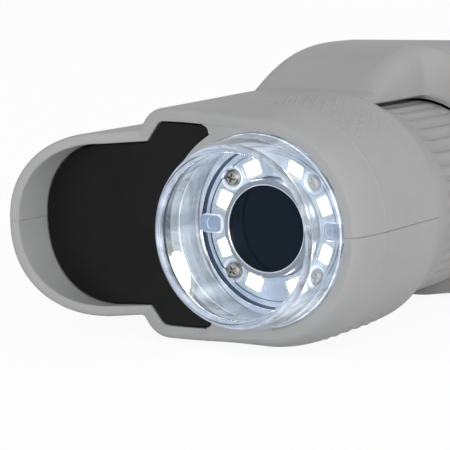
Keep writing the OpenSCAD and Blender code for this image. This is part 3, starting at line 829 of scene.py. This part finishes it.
def barrel_end(points, y):
    """The barrel's rear edge is rounded over towards the focus ring."""
    s = clip((y - RING_Y0 + BARREL_END_L) / BARREL_END_L)
    if s <= 0 or y >= RING_Y0:
        return points
    inset = BARREL_END_R * (1 - sqrt(max(0.0, 1 - s * s)))
    moved = []
    for i, (x, at, z) in enumerate(points):
        scale = 1 - inset / BARREL_R * ease(0, 0.3, 1 - i / ARC_N)
        moved.append((x * scale, at, z * scale))
    return moved


def case_half(up):
    outer, inner = [], []
    for y, inner_y, neck, d in case_rows():
        outer.append(barrel_end(outline_row(y, y, 0, up, neck), y))
        at = inner_y - WALL if inner_y > REAR_ROWS_Y else inner_y
        inner.append(outline_row(inner_y, at, d, up, neck))
    sign = 1 if up else -1
    for rows, y, groove in ((outer, BODY_LEN, PART_GROOVE), (inner, END_Y, 0)):
        rows.append([(x, y, sign * min(abs(z), PART_EDGE)) for x, _, z in rows[-1]])
        rows.append([(x, y - groove, sign * min(abs(z), PART_GAP)) for x, _, z in rows[-1]])
    skin = Skin()
    outer_ids = [skin.row(r) for r in outer]
    inner_ids = [skin.row(r) for r in inner]
    for ids in (outer_ids, inner_ids):
        for a, b in zip(ids, ids[1:]):
            skin.strip(a, b)
    skin.strip(outer_ids[0], inner_ids[0])
    skin.strip(outer_ids[-1], inner_ids[-1])
    for i in (0, -1):
        skin.strip([r[i] for r in outer_ids], [r[i] for r in inner_ids])
    return skin


def height_at(points, x):
    """Height of an outline at x."""
    for (x0, z0), (x1, z1) in zip(points, points[1:]):
        if x1 <= x <= x0 and x0 > x1:
            return mix(z0, z1, (x0 - x) / (x0 - x1))
    return points[-1][1]


def underside(x, y):
    """Height of the lower half's skin at a spot."""
    return -height_at(half_outline(y, 0, False), x)


def panel_tip(up):
    """End of the panel beside the tube, and the height of its edge there."""
    tip = -PANEL_X - SLACK
    return tip, height_at(half_outline(0, WALL + SLACK, up), tip - EAR_R)


def collar_walls(skin, up):
    """Collar ring on the far side of the tube, and the bridge between the ring and the deck."""
    sign = 1 if up else -1
    ring = [(TUBE_HOLE_R, 0.3), (TUBE_HOLE_R + 0.25, 0.05), (COLLAR_R - 0.02, 0.05),
            (COLLAR_R - 0.02, COLLAR_L), (TUBE_HOLE_R, COLLAR_L)]
    lathe(skin, ring, 48, sign * COLLAR_START, sign * COLLAR_TURN)
    sleeve = [(TUBE_HOLE_R, SLEEVE_Y), (TUBE_HOLE_R + SLEEVE_T, SLEEVE_Y),
              (TUBE_HOLE_R + SLEEVE_T, FLOOR_BACK), (TUBE_HOLE_R, FLOOR_BACK)]
    lathe(skin, sleeve, 80, sign * 0.002, sign * (pi - 0.004))
    edge = half_outline(0, BRIDGE_INSET, up)
    tip, top = panel_tip(up)
    columns = [0.5, 0, -2, -4, -6, -8, -PANEL_X + 0.4]
    columns += [tip - EAR_R * (1 - cos(k)) for k in steps(0, pi / 2, 8)]
    rows = []
    for x in columns:
        high = height_at(edge, x)
        if x > tip:
            low = sqrt((COLLAR_R - BRIDGE_LAP) ** 2 - x * x)
        else:
            low = top - EAR_R + sqrt(max(0.0, EAR_R ** 2 - (x - tip + EAR_R) ** 2)) + 0.08
        low = min(low, high - 0.2)
        corners = ((BRIDGE_Y0, low), (BRIDGE_Y0, high), (BRIDGE_Y1, high), (BRIDGE_Y1, low))
        rows.append([(x, y, sign * h) for y, h in corners])
    skin.loft(rows)


def grip_dots(skin, up):
    """Staggered bumps on the barrel, from the deck round to the side."""
    sign = 1 if up else -1
    for j in range(DOT_ROWS):
        y = DOT_Y0 + j * DOT_STEP
        a, q = right_x(y), top_z(y) if up else LOW_FACE
        p = side_power(y, up)
        for i in range(DOT_COLS):
            run = DOT_X0 + DOT_STEP * (i + 0.5 * (j % 2))
            k = pi / 2 - max(0.0, run) / BARREL_R
            x, z = a * cos(k) ** (2 / p), q * sin(k) ** (2 / p)
            if k < DOT_END or not up and z + DOT_H > LOW_FACE - DOT_LOW_AIR:
                continue
            out = Vector((x ** (p - 1) / a ** p, 0, z ** (p - 1) / q ** p)).normalized()
            if run < 0:
                x, out = run, Vector((0, 0, 1))
            side = Vector((out.z, 0, -out.x))
            foot = Vector((x, y, z))
            rows = []
            for r, h in DOT_PROFILE:
                ring = [foot + out * h + side * u + Vector((0, v, 0)) for u, v in disc(r, 12)]
                rows.append([(g.x, g.y, sign * g.z) for g in ring])
            skin.loft(rows)


# Tools that cut the openings in the case, with a small chamfer at each mouth
def window_tool():
    hole = rounded_rect(WINDOW_W - WINDOW_LEDGE, WINDOW_L - WINDOW_LEDGE, 1.5)
    seat = rounded_rect(WINDOW_W + WINDOW_GAP, WINDOW_L + WINDOW_GAP, 2.2)
    mouth = rounded_rect(WINDOW_W + WINDOW_GAP + 1, WINDOW_L + WINDOW_GAP + 1, 2.6)
    layers = [(hole, -12), (hole, -1.45), (seat, -1.44), (seat, -0.4), (mouth, 0.1), (mouth, 4)]
    return stack(layers, lambda u, v, h: on_slope(MID_X + u, WINDOW_MID_S + v, h)).object("window_tool")


def key_x(i):
    return MID_X + (i - 2) * KEY_STEP


def key_radius(i):
    return CAPTURE_R if i == 2 else KEY_R


def key_tool(i):
    r = key_radius(i) + KEY_GAP
    layers = [(disc(r), -8), (disc(r), -0.35), (disc(r + 0.45), 0.1), (disc(r + 0.45), 4)]
    return stack(layers, lambda u, v, h: on_slope(key_x(i) + u, KEY_S + v, h)).object("key_tool")


def under_tool(x, y, layers):
    return stack(layers, lambda u, v, h: (x + u, y + v, h)).object("under_tool")


def port_tool():
    w, h = PORT_W + 0.4, PORT_Z1 - PORT_Z0 + 0.2
    middle = (PORT_Z0 + PORT_Z1 + 0.2) / 2
    hole, mouth = rounded_rect(w, h, 1), rounded_rect(w + 0.8, h + 0.8, 1.4)
    layers = [(hole, END_Y - 3), (hole, BODY_LEN - 0.35), (mouth, BODY_LEN + 0.05), (mouth, BODY_LEN + 2)]
    return stack(layers, lambda u, v, y: (MID_X + u, y, middle + v)).object("port_tool")


def lower_tools():
    """Openings for the battery door, the bush, the case screws and the ports."""
    face = -LOW_FACE
    hole, mouth = rounded_rect(DOOR_W, DOOR_L, 2), rounded_rect(DOOR_W + 0.9, DOOR_L + 0.9, 2.4)
    door = [(mouth, face - 3), (mouth, face - 0.05), (hole, face + 0.4), (hole, face + WALL + 1)]
    hole, mouth = disc(BUSH_R + 0.02), disc(BUSH_R + 0.4)
    bush = [(mouth, face - 3), (mouth, face - 0.05), (hole, face + 0.3), (hole, face + 4)]
    tools = [under_tool(MID_X, DOOR_Y, door), under_tool(MID_X, BUSH_Y, bush)]
    hole, mouth = disc(WELL_R), disc(WELL_MOUTH_R)
    for x, y in CASE_SPOTS:
        skin_z = underside(x, y)
        well = [(mouth, -30), (mouth, skin_z - 0.05), (hole, skin_z + 0.35), (hole, -14)]
        tools.append(under_tool(x, y, well))
    tools.append(port_tool())
    return tools


def screw_wells(skin):
    """Tubes inside the lower half that hold the case screws."""
    for x, y in CASE_SPOTS:
        skin_z = underside(x, y)
        well = [(disc(WELL_R), skin_z + 1.3), (disc(WELL_R), SCREW_SEAT - 2),
                (disc(WELL_OUT_R), SCREW_SEAT - 2), (disc(WELL_OUT_R), skin_z + 1.8)]
        skin.loft([[(x + u, y + v, h) for u, v in ring] for ring, h in well], ends="join")


def build_case():
    upper = case_half(True).object("upper_case")
    cut(upper, window_tool())
    for i in range(KEY_COUNT):
        cut(upper, key_tool(i))
    walls = Skin()
    collar_walls(walls, True)
    grip_dots(walls, True)
    join(upper, walls.object("upper_walls"))
    dress(upper, "case", "shell", "upper_shell")

    lower = case_half(False).object("lower_case")
    for tool in lower_tools():
        cut(lower, tool)
    walls = Skin()
    collar_walls(walls, False)
    grip_dots(walls, False)
    screw_wells(walls)
    join(lower, walls.object("lower_walls"))
    dress(lower, "case", "shell", "lower_shell")


# Black panel beside the tube
def panel_half(up):
    bite = COLLAR_R + SLACK
    tip, top = panel_tip(up)
    start = acos(tip / bite)
    arc = [(bite * cos(k), bite * sin(k)) for k in steps(pi, start + EAR_TURN, 30)[1:]]
    end = bite * sin(start)
    arc += bow(arc[-1], (tip, end), (tip, mix(end, top - EAR_R, 0.8)), 4)
    ear = [(tip - EAR_R + EAR_R * sin(k), top - EAR_R + EAR_R * cos(k))
           for k in steps(pi / 2, 0, 8)]
    edge = [(x, z) for x, z in half_outline(0, WALL + SLACK, up)
            if x < tip - EAR_R and z > PART_EDGE + 0.01]
    return arc + ear + edge


def build_panel():
    outline = panel_half(True) + [(x, -z) for x, z in panel_half(False)[::-1]]
    obj = solid("nose_plate", [[(x, y, z) for x, z in outline] for y in (PANEL_Y, PANEL_Y + PANEL_T)])
    bevel(obj, 0.4)
    dress(obj, "case", "panel", "nose_panel")


# Clear tube round the lens
def tube_profile():
    """(radius, y) points round the tube's section, from the back of the floor's bore."""
    points = [(FLOOR_BORE, FLOOR_BACK), (FLOOR_BORE, FLOOR_Y + 0.25), (FLOOR_BORE + 0.25, FLOOR_Y)]
    groove = ((13.85, 0), (13.92, 0.3), (14.1, 0.3), (14.18, 0))
    gutter = ((14.4, 0), (14.55, 0.12), (14.65, 0.8), (15.45, 0.8), (15.6, 0.1))
    points += [(r, FLOOR_Y + depth) for r, depth in groove + gutter]
    points += bow((15.6, FLOOR_Y - 0.2), (15.65, FLOOR_Y - 0.75), (TUBE_IN_ROOT_R, FLOOR_Y - 1.2), 5)
    points += [(TUBE_IN_ROOT_R - 0.05, 0.2), (TUBE_IN_R + 0.14, -7.0)]
    lip_r = (TUBE_LIP_R - TUBE_IN_R) / 2
    mid_r, mid_y = TUBE_IN_R + lip_r, lip_r - TUBE_OUT
    points += [(mid_r - lip_r * cos(k), mid_y - lip_r * sin(k)) for k in steps(0, pi, 14)]
    points += [(mix(TUBE_LIP_R, TUBE_ROOT_R, 0.5), -4), (TUBE_ROOT_R - 0.12, -0.4),
               (TUBE_ROOT_R, 0.1), (TUBE_ROOT_R, FLOOR_BACK)]
    return points


def polar_box(angle, r0, r1, w, corner, *ys):
    """Rows of a rounded block in the tube's floor, one at each y, long sides along the radius."""
    ca, sa = cos(angle), sin(angle)
    outline = rounded_rect(r1 - r0, w, corner, 4)
    mid = (r0 + r1) / 2
    return [[((mid + u) * ca - v * sa, y, (mid + u) * sa + v * ca) for u, v in outline] for y in ys]


def polar_disc(angle, spot_r, profile, n):
    """Rows of a round form in the tube's floor, from its own (radius, y) profile."""
    cx, cz = spot_r * cos(angle), spot_r * sin(angle)
    return [[(cx + u, y, cz + v) for u, v in disc(r, n)] for r, y in profile]


def tube_edge(spot, normal):
    """Material index of a tube face: 0 for the clear wall, 1 for painted shade on dark edges, 2 for painted
    highlights on edges that catch the light, 3 for the tabs' tops.
    """
    x, y, z = (spot - ORIGIN) / MM
    r, along = hypot(x, z), abs(normal.y)
    if y < FLOOR_Y - 0.02 and 10.8 < r < 14.9 and abs(z) < 2:
        return 2 if along < 0.9 else 3
    in_groove = 13.8 < r < 14.2 and y > FLOOR_Y + 0.02 and along < 0.99
    in_gutter = 14.5 < r < 15.75 and y > FLOOR_Y - 0.3 and along < 0.8
    inside_lip = r < TUBE_IN_R + 0.16 and -7.95 < y < -7.0
    if in_groove or in_gutter or inside_lip:
        return 1
    side = SCREW_R * sqrt(0.5)
    from_screw = hypot(abs(x) - side, abs(z) - side)
    at_root = r > TUBE_ROOT_R - 0.2 and -0.4 < y < 0.1
    at_well = 1.9 < from_screw < 2.45 and along < 0.95
    return 2 if at_root or at_well else 0


def build_tube():
    obj = lathe(Skin(), tube_profile(), 160).object("clear_tube")
    tabs = Skin()
    for a in (0, pi):
        tabs.loft(polar_box(a, TAB_R0, TAB_R1, TAB_W, 1.2, FLOOR_Y + 1.2, FLOOR_Y - 0.4)
                  + polar_box(a, TAB_R0 + 0.25, TAB_R1, TAB_W - 0.5, 1.0, FLOOR_Y - TAB_H))
    for a in (pi / 2, -pi / 2):
        tabs.loft(polar_disc(a, PEG_SPOT_R, ((PEG_R, FLOOR_Y + 0.5), (PEG_R, FLOOR_Y - 0.15)), 28))
    cut(obj, tabs.object("tabs"), "UNION")
    tool = Skin()
    for a in (0, pi):
        tool.loft(polar_box(a, TAB_R0 + 0.6, 14.4, TAB_W - 1.5, 0.9, FLOOR_Y - 1, FLOOR_Y - 0.15))
    r0, r1 = LAMP_R - LAMP_HOLE_L / 2, LAMP_R + LAMP_HOLE_L / 2
    for a in LAMP_ANGLES:
        tool.loft(polar_box(a, r0, r1, LAMP_HOLE_W, 0.5, FLOOR_Y - 0.6, FLOOR_BACK + 1))
    well = [(SCREW_MOUTH_R, FLOOR_Y - 1), (SCREW_MOUTH_R, FLOOR_Y + 0.02), (SCREW_WELL_R, FLOOR_Y + 0.3),
            (SCREW_WELL_R, SCREW_SEAT_Y), (SCREW_HOLE_R, SCREW_SEAT_Y), (SCREW_HOLE_R, FLOOR_BACK + 1)]
    for a in SCREW_ANGLES:
        tool.loft(polar_disc(a, SCREW_R, well, 32))
    cut(obj, tool.object("tube_tool"))
    dress(obj, "case", "clear", "contact_tube", mats=[clear, painted_shade_edge, painted_highlight_edge, tab_blue], angle=30)
    # Faces on the tube's dark edges get painted shade, faces on its bright edges painted highlights.
    for face in obj.data.polygons:
        face.material_index = tube_edge(obj.matrix_world @ face.center, face.normal)


def build_lamps():
    cups, glow = Skin(), Skin()
    front = FLOOR_BACK - LAMP_H
    r0, r1 = LAMP_R - LAMP_L / 2, LAMP_R + LAMP_L / 2
    for a in LAMP_ANGLES:
        base = polar_box(a, r0, r1, LAMP_W, LAMP_CORNER, FLOOR_BACK, front + 0.15)
        rim = polar_box(a, r0 + 0.15, r1 - 0.15, LAMP_W - 0.3, LAMP_CORNER, front)
        well = polar_box(a, r0 + 0.3, r1 - 0.3, LAMP_W - 0.6, FACE_CORNER, front, front + 0.2)
        face = polar_box(a, r0 + 0.32, r1 - 0.32, LAMP_W - 0.64, FACE_CORNER, front + 0.19, front + 0.05)
        cups.loft(base + rim + well)
        glow.loft(face)
    dress(cups.object("lamp_bodies"), "case", "lamp", "lamps")
    dress(glow.object("lamp_faces"), "case", "lamp", mats=[phosphor])


# Screws; place(u, v, h) has h along a screw's axis, 0 at its seat
def cross_screw(name, place, head_r, head_h, recess_r, recess_w, depth):
    """A pan head with a cross recess."""
    crown = ((1, 0), (1, 0.45), (0.93, 0.75), (0.75, 0.95), (0.4, 1))
    obj = solid(name, [[place(u, v, head_h * h) for u, v in disc(head_r * r, 40)] for r, h in crown])
    for w, l in ((recess_w, 2 * recess_r), (2 * recess_r, recess_w)):
        recess = [[place(u * s, v * s, h) for u, v in rounded_rect(w, l, recess_w * 0.3, 2)]
                  for s, h in ((0.7, head_h - depth), (1.05, head_h + 0.3))]
        cut(obj, solid("recess", recess))
    return obj


def screw_set(name, places, head, shank_r, shank_l):
    """Screws of one size joined into one object."""
    whole = None
    for place in places:
        screw = cross_screw(name, place, *head)
        shank = [[place(u, v, h) for u, v in disc(shank_r, 24)] for h in (0.05, -shank_l)]
        join(screw, solid("shank", shank))
        if whole is None:
            whole = screw
        else:
            join(whole, screw)
    return whole


def ring_screw_place(angle, twist):
    cx, cz = SCREW_R * cos(angle), SCREW_R * sin(angle)
    c, s = cos(twist), sin(twist)
    return lambda u, v, h: (cx + u * c - v * s, SCREW_SEAT_Y - h, cz + u * s + v * c)


def case_screw_place(x, y, twist):
    c, s = cos(twist), sin(twist)
    return lambda u, v, h: (x + u * c - v * s, y + u * s + v * c, SCREW_SEAT - h)


def build_screws():
    places = [ring_screw_place(angle, 0.4 + 0.9 * k) for k, angle in enumerate(SCREW_ANGLES)]
    small = screw_set("ring_screw_heads", places, RING_SCREW_HEAD, *RING_SCREW_SHANK)
    dress(small, "case", "steel", "ring_screws", mats=[screw_grey])
    places = [case_screw_place(x, y, 0.3 + 0.7 * i) for i, (x, y) in enumerate(CASE_SPOTS)]
    large = screw_set("case_screw_heads", places, CASE_SCREW_HEAD, *CASE_SCREW_SHANK)
    dress(large, "case", "steel", "case_screws")


# Lens front
def build_lens_front():
    rim = lathe(Skin(), RIM_PROFILE, 128).object("lens_rim")
    dress(rim, "lens_group", "bezel", "lens_bezel", mats=[rim_grey])
    dress(lathe(Skin(), RIM_EDGE_PROFILE, 128).object("lens_rim_edge"), "lens_group", "bezel")
    angles = [2 * pi * i / 96 for i in range(96)]
    rows = []
    for u in steps(0.02, 1, 16):
        rows.append([round_axis(GLASS_R * u, GLASS_Y - GLASS_BULGE * (1 - u * u), a) for a in angles])
    rows.append([round_axis(GLASS_R, GLASS_BACK, a) for a in angles])
    dress(solid("front_lens", rows), "lens_group", "front_glass", "objective_glass")


# Ribbed focus ring, flush with the barrel at its front end
def ring_base(y):
    return mix(RING_FRONT, RING_WAIST, ease(*RING_TAPER_SPAN, y - RING_Y0))


def ring_radius(y):
    """Radius on top of the ribs, with the rounded edge at either end."""
    from_end = min(y - RING_Y0, RING_Y1 - y) - RING_GAP
    if from_end >= RING_EDGE:
        return ring_base(y)
    round_off = sqrt(max(0.0, RING_EDGE ** 2 - (RING_EDGE - from_end) ** 2))
    return ring_base(y) - (RING_EDGE - round_off)


def build_ring():
    y0, y1 = RING_Y0 + RING_GAP, RING_Y1 - RING_GAP
    ends = (0, 0.02, 0.08, 0.2, 0.5)
    ys = [y0 + e for e in ends] + steps(y0 + 1.2, y1 - 1.2, 30) + [y1 - e for e in ends[::-1]]
    count = GRIP_COUNT * RIB_COLS
    angles = [2 * pi * (i + 0.5 * RIB_COLS) / count for i in range(count)]
    rows = []
    for y in ys:
        fade = ease(*RIB_FRONT_SPAN, y - y0) * ease(*RIB_REAR_SPAN, y1 - y)
        row = []
        for i, angle in enumerate(angles):
            phase = (i % RIB_COLS) / RIB_COLS
            valley = max(0.0, 1 - abs(phase - 0.5) / RIB_VALLEY)
            r = ring_radius(y) - RIB_DEPTH * fade * valley * valley * (3 - 2 * valley)
            row.append(round_axis(r, y, angle))
        rows.append(row)
    for y in (y1, y0):
        rows.append([round_axis(RING_BORE, y, angle) for angle in angles])
    dress(solid("focus_grip_ring", rows, ends="join"), "focus_grip", "grip", "focus_ring")


# Display and keys
def build_display():
    layers = []
    for inset, h in ((0, -1.4), (0, -0.4), (0.12, -0.2), (0.4, -0.1)):
        layers.append((rounded_rect(WINDOW_W - 2 * inset, WINDOW_L - 2 * inset, 2), h))
    obj = stack(layers, lambda u, v, h: on_slope(MID_X + u, WINDOW_MID_S + v, h)).object("display_pane")
    dress(obj, "case", "display_glass", "display_window")


def build_keys():
    names = ("power", "menu", "capture", "up", "down")
    slots = ("key_red", "key_dark", "key_light", "key_dark", "key_dark")
    shoulder = KEY_TOP - KEY_EDGE_R
    for i, (name, slot) in enumerate(zip(names, slots)):
        r = key_radius(i)
        layers = [(disc(r + KEY_FLANGE_W), KEY_FOOT), (disc(r + KEY_FLANGE_W), KEY_FOOT + KEY_FLANGE_T),
                  (disc(r), KEY_FOOT + KEY_FLANGE_T), (disc(r), shoulder)]
        for k in steps(0, pi / 2, 6)[1:]:
            layers.append((disc(r - KEY_EDGE_R * (1 - cos(k))), shoulder + KEY_EDGE_R * sin(k)))
        for u in (0.7, 0.45, 0.2, 0.03):
            layers.append((disc((r - KEY_EDGE_R) * u), KEY_TOP - KEY_DISH * (1 - u * u)))
        obj = stack(layers, lambda u, v, h: on_slope(key_x(i) + u, KEY_S + v, h)).object("cap_" + name)
        dress(obj, name + "_key", slot, "key_" + name)


# Underside and rear end
def build_door():
    z0 = -LOW_FACE + 0.2
    layers = []
    for inset, h in ((0.6, 0), (0.3, 0.1), (0.2, 0.4), (0.2, DOOR_T)):
        layers.append((rounded_rect(DOOR_W - 2 * inset, DOOR_L - 2 * inset, 1.8), z0 + h))
    obj = stack(layers, lambda u, v, h: (MID_X + u, DOOR_Y + v, h)).object("battery_lid")
    tool = Skin()
    for i in range(RIDGE_COUNT):
        y = DOOR_Y - DOOR_L / 2 + RIDGE_START + RIDGE_STEP * i
        tool.loft([[(MID_X + u, y + v, h) for u, v in rounded_rect(RIDGE_L, w, 0.3, 3)]
                   for w, h in ((1.2, z0 - 0.3), (0.8, z0 + 0.5))])
    cut(obj, tool.object("door_tool"))
    dress(obj, "door", "shell", "battery_door")


def build_bush():
    z0 = -LOW_FACE + 0.1
    n = 48
    layers = ((BUSH_R, BUSH_TOP), (BUSH_R, z0 + 0.3), (BUSH_R - 0.3, z0), (THREAD_R + 0.5, z0))
    rows = [[(u, v, z) for u, v in disc(r, n)] for r, z in layers]
    for z in steps(z0 + 0.4, THREAD_TOP, 64):
        row = []
        for i in range(n):
            a = 2 * pi * i / n
            turn = ((z - z0) / THREAD_PITCH - a / (2 * pi)) % 1
            r = THREAD_R + 0.05 - THREAD_DEPTH * (1 - abs(2 * turn - 1)) * ease(0, 1.2, z - z0)
            row.append((r * cos(a), r * sin(a), z))
        rows.append(row)
    rows = [[(MID_X + x, BUSH_Y + y, z) for x, y, z in row] for row in rows]
    dress(solid("tripod_insert", rows), "case", "brass", "tripod_bush", angle=40)


def build_flap():
    z = PORT_Z0 + PORT_R
    height = PORT_Z1 - z
    layers = []
    for inset, y in ((0, END_Y + 0.2), (0, BODY_LEN - 0.55), (0.1, BODY_LEN - 0.3), (0.35, BODY_LEN - 0.2)):
        layers.append((rounded_rect(PORT_W - 2 * inset, height - 2 * inset, 0.9), y))
    skin = stack(layers, lambda u, v, y: (MID_X + u, y, z + height / 2 + v))
    hinge = disc(PORT_R - 0.3, 24)
    skin.loft([[(MID_X + x, END_Y + PORT_R + u, z + v) for u, v in hinge]
               for x in (-PORT_W / 2, PORT_W / 2)])
    dress(skin.object("port_flap"), "flap", "flap", "port_cover")


def dress_frame():
    """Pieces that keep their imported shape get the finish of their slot."""
    slot_of = {part["node"]: part["material_slot"] for part in frame["record"]["subparts"]}
    for name, obj in frame["nodes"].items():
        obj.data.materials.clear()
        obj.data.materials.append(SLOTS[slot_of[name]])


dress_frame()
build_case()
build_panel()
build_tube()
build_lamps()
build_screws()
build_lens_front()
build_ring()
build_display()
build_keys()
build_door()
build_bush()
build_flap()


# Floor, light and camera
FLOOR_SIZE = 40
FLOOR_SHADE = 0.94
FLOOR_GLOW = 0.93
WORLD_LEVEL = 0.78
WORLD_LEAN = (0.14, -0.06, -0.14)
AIM = (0, 0, 0.02)


def build_floor():
    """A white floor that shows as nearly pure white, with a faint shadow."""
    bpy.ops.mesh.primitive_plane_add(size=FLOOR_SIZE)
    floor = bpy.context.object
    floor.name = "floor"
    mat = bpy.data.materials.new("floor_white")
    mat.use_nodes = True
    tree = mat.node_tree
    tree.nodes.clear()
    out = add_node(tree, "ShaderNodeOutputMaterial")
    blend = add_node(tree, "ShaderNodeMixShader")
    diffuse = add_node(tree, "ShaderNodeBsdfDiffuse", Color=(FLOOR_SHADE, FLOOR_SHADE, FLOOR_SHADE, 1))
    white = add_node(tree, "ShaderNodeEmission", Strength=1.0)
    share = add_node(tree, "ShaderNodeMath")
    share.operation = "MULTIPLY"
    share.inputs[1].default_value = FLOOR_GLOW
    tree.links.new(seen_rays(tree), share.inputs[0])
    tree.links.new(share.outputs["Value"], blend.inputs["Fac"])
    tree.links.new(diffuse.outputs["BSDF"], blend.inputs[1])
    tree.links.new(white.outputs["Emission"], blend.inputs[2])
    tree.links.new(blend.outputs["Shader"], out.inputs["Surface"])
    floor.data.materials.append(mat)


def seen_rays(tree):
    """1 for rays from the camera and for mirrored or refracted rays, else 0."""
    path = add_node(tree, "ShaderNodeLightPath")
    seen = path.outputs["Is Camera Ray"]
    for kind in ("Is Glossy Ray", "Is Transmission Ray"):
        either = add_node(tree, "ShaderNodeMath")
        either.operation = "MAXIMUM"
        tree.links.new(seen, either.inputs[0])
        tree.links.new(path.outputs[kind], either.inputs[1])
        seen = either.outputs["Value"]
    return seen


def build_world():
    """White where it is seen; as light, a little stronger towards one side."""
    world = bpy.data.worlds.new("studio")
    bpy.context.scene.world = world
    world.use_nodes = True
    tree = world.node_tree
    back = tree.nodes["Background"]
    back.inputs["Color"].default_value = (1, 1, 1, 1)
    coords = add_node(tree, "ShaderNodeTexCoord")
    lean = add_node(tree, "ShaderNodeVectorMath")
    lean.operation = "DOT_PRODUCT"
    lean.inputs[1].default_value = WORLD_LEAN
    tree.links.new(coords.outputs["Generated"], lean.inputs[0])
    span = add_node(tree, "ShaderNodeMapRange", To_Max=1.0)
    level = add_node(tree, "ShaderNodeMath")
    level.inputs[1].default_value = WORLD_LEVEL
    tree.links.new(lean.outputs["Value"], level.inputs[0])
    tree.links.new(level.outputs["Value"], span.inputs["To Min"])
    tree.links.new(seen_rays(tree), span.inputs["Value"])
    tree.links.new(span.outputs["Result"], back.inputs["Strength"])


def add_lamp(name, place, size, watts):
    data = bpy.data.lights.new(name, "AREA")
    data.shape = "DISK"
    data.size = size
    data.energy = watts
    obj = bpy.data.objects.new(name, data)
    bpy.context.collection.objects.link(obj)
    obj.location = place
    obj.rotation_euler = (Vector(AIM) - Vector(place)).to_track_quat("-Z", "Y").to_euler()


# Viewing angle of the photograph: turn, height and roll in radians, pixels of a 450 wide frame
CAM_TURN = 0.577122605
CAM_RISE = 0.14051562
CAM_ROLL = 0.0182774668
CAM_DISTANCE = 333.336503
FRAME_PX = 450
FOCAL_PX = 1800
LENS_AXIS_PX = (255.612674, 231.398987)
SENSOR = 36.0


def build_camera():
    ca, sa = cos(CAM_TURN), sin(CAM_TURN)
    ce, se = cos(CAM_RISE), sin(CAM_RISE)
    right, up = Vector((ca, sa, 0)), Vector((-sa * se, ca * se, ce))
    back = Vector((sa * ce, -ca * ce, se))
    c, s = cos(CAM_ROLL), sin(CAM_ROLL)
    right, up = right * c - up * s, right * s + up * c
    half = FRAME_PX / 2
    shift_x = (LENS_AXIS_PX[0] - half) / FOCAL_PX * CAM_DISTANCE
    shift_y = -(LENS_AXIS_PX[1] - half) / FOCAL_PX * CAM_DISTANCE
    place = back * CAM_DISTANCE - right * shift_x - up * shift_y
    data = bpy.data.cameras.new("camera")
    data.sensor_width = SENSOR
    data.lens = SENSOR * FOCAL_PX / FRAME_PX
    data.clip_start = 0.01
    data.clip_end = 100
    cam = bpy.data.objects.new("camera", data)
    bpy.context.collection.objects.link(cam)
    turn = Matrix((right, up, back)).transposed().to_4x4()
    cam.matrix_world = Matrix.Translation(to_part(place)) @ turn
    bpy.context.scene.camera = cam


build_floor()
build_world()
add_lamp("key", (1.1, -0.9, 0.26), 0.9, 9.5)
add_lamp("fill", (0.15, -0.8, 0.08), 0.5, 0.8)
build_camera()
bpy.context.scene.view_settings.view_transform = "Standard"
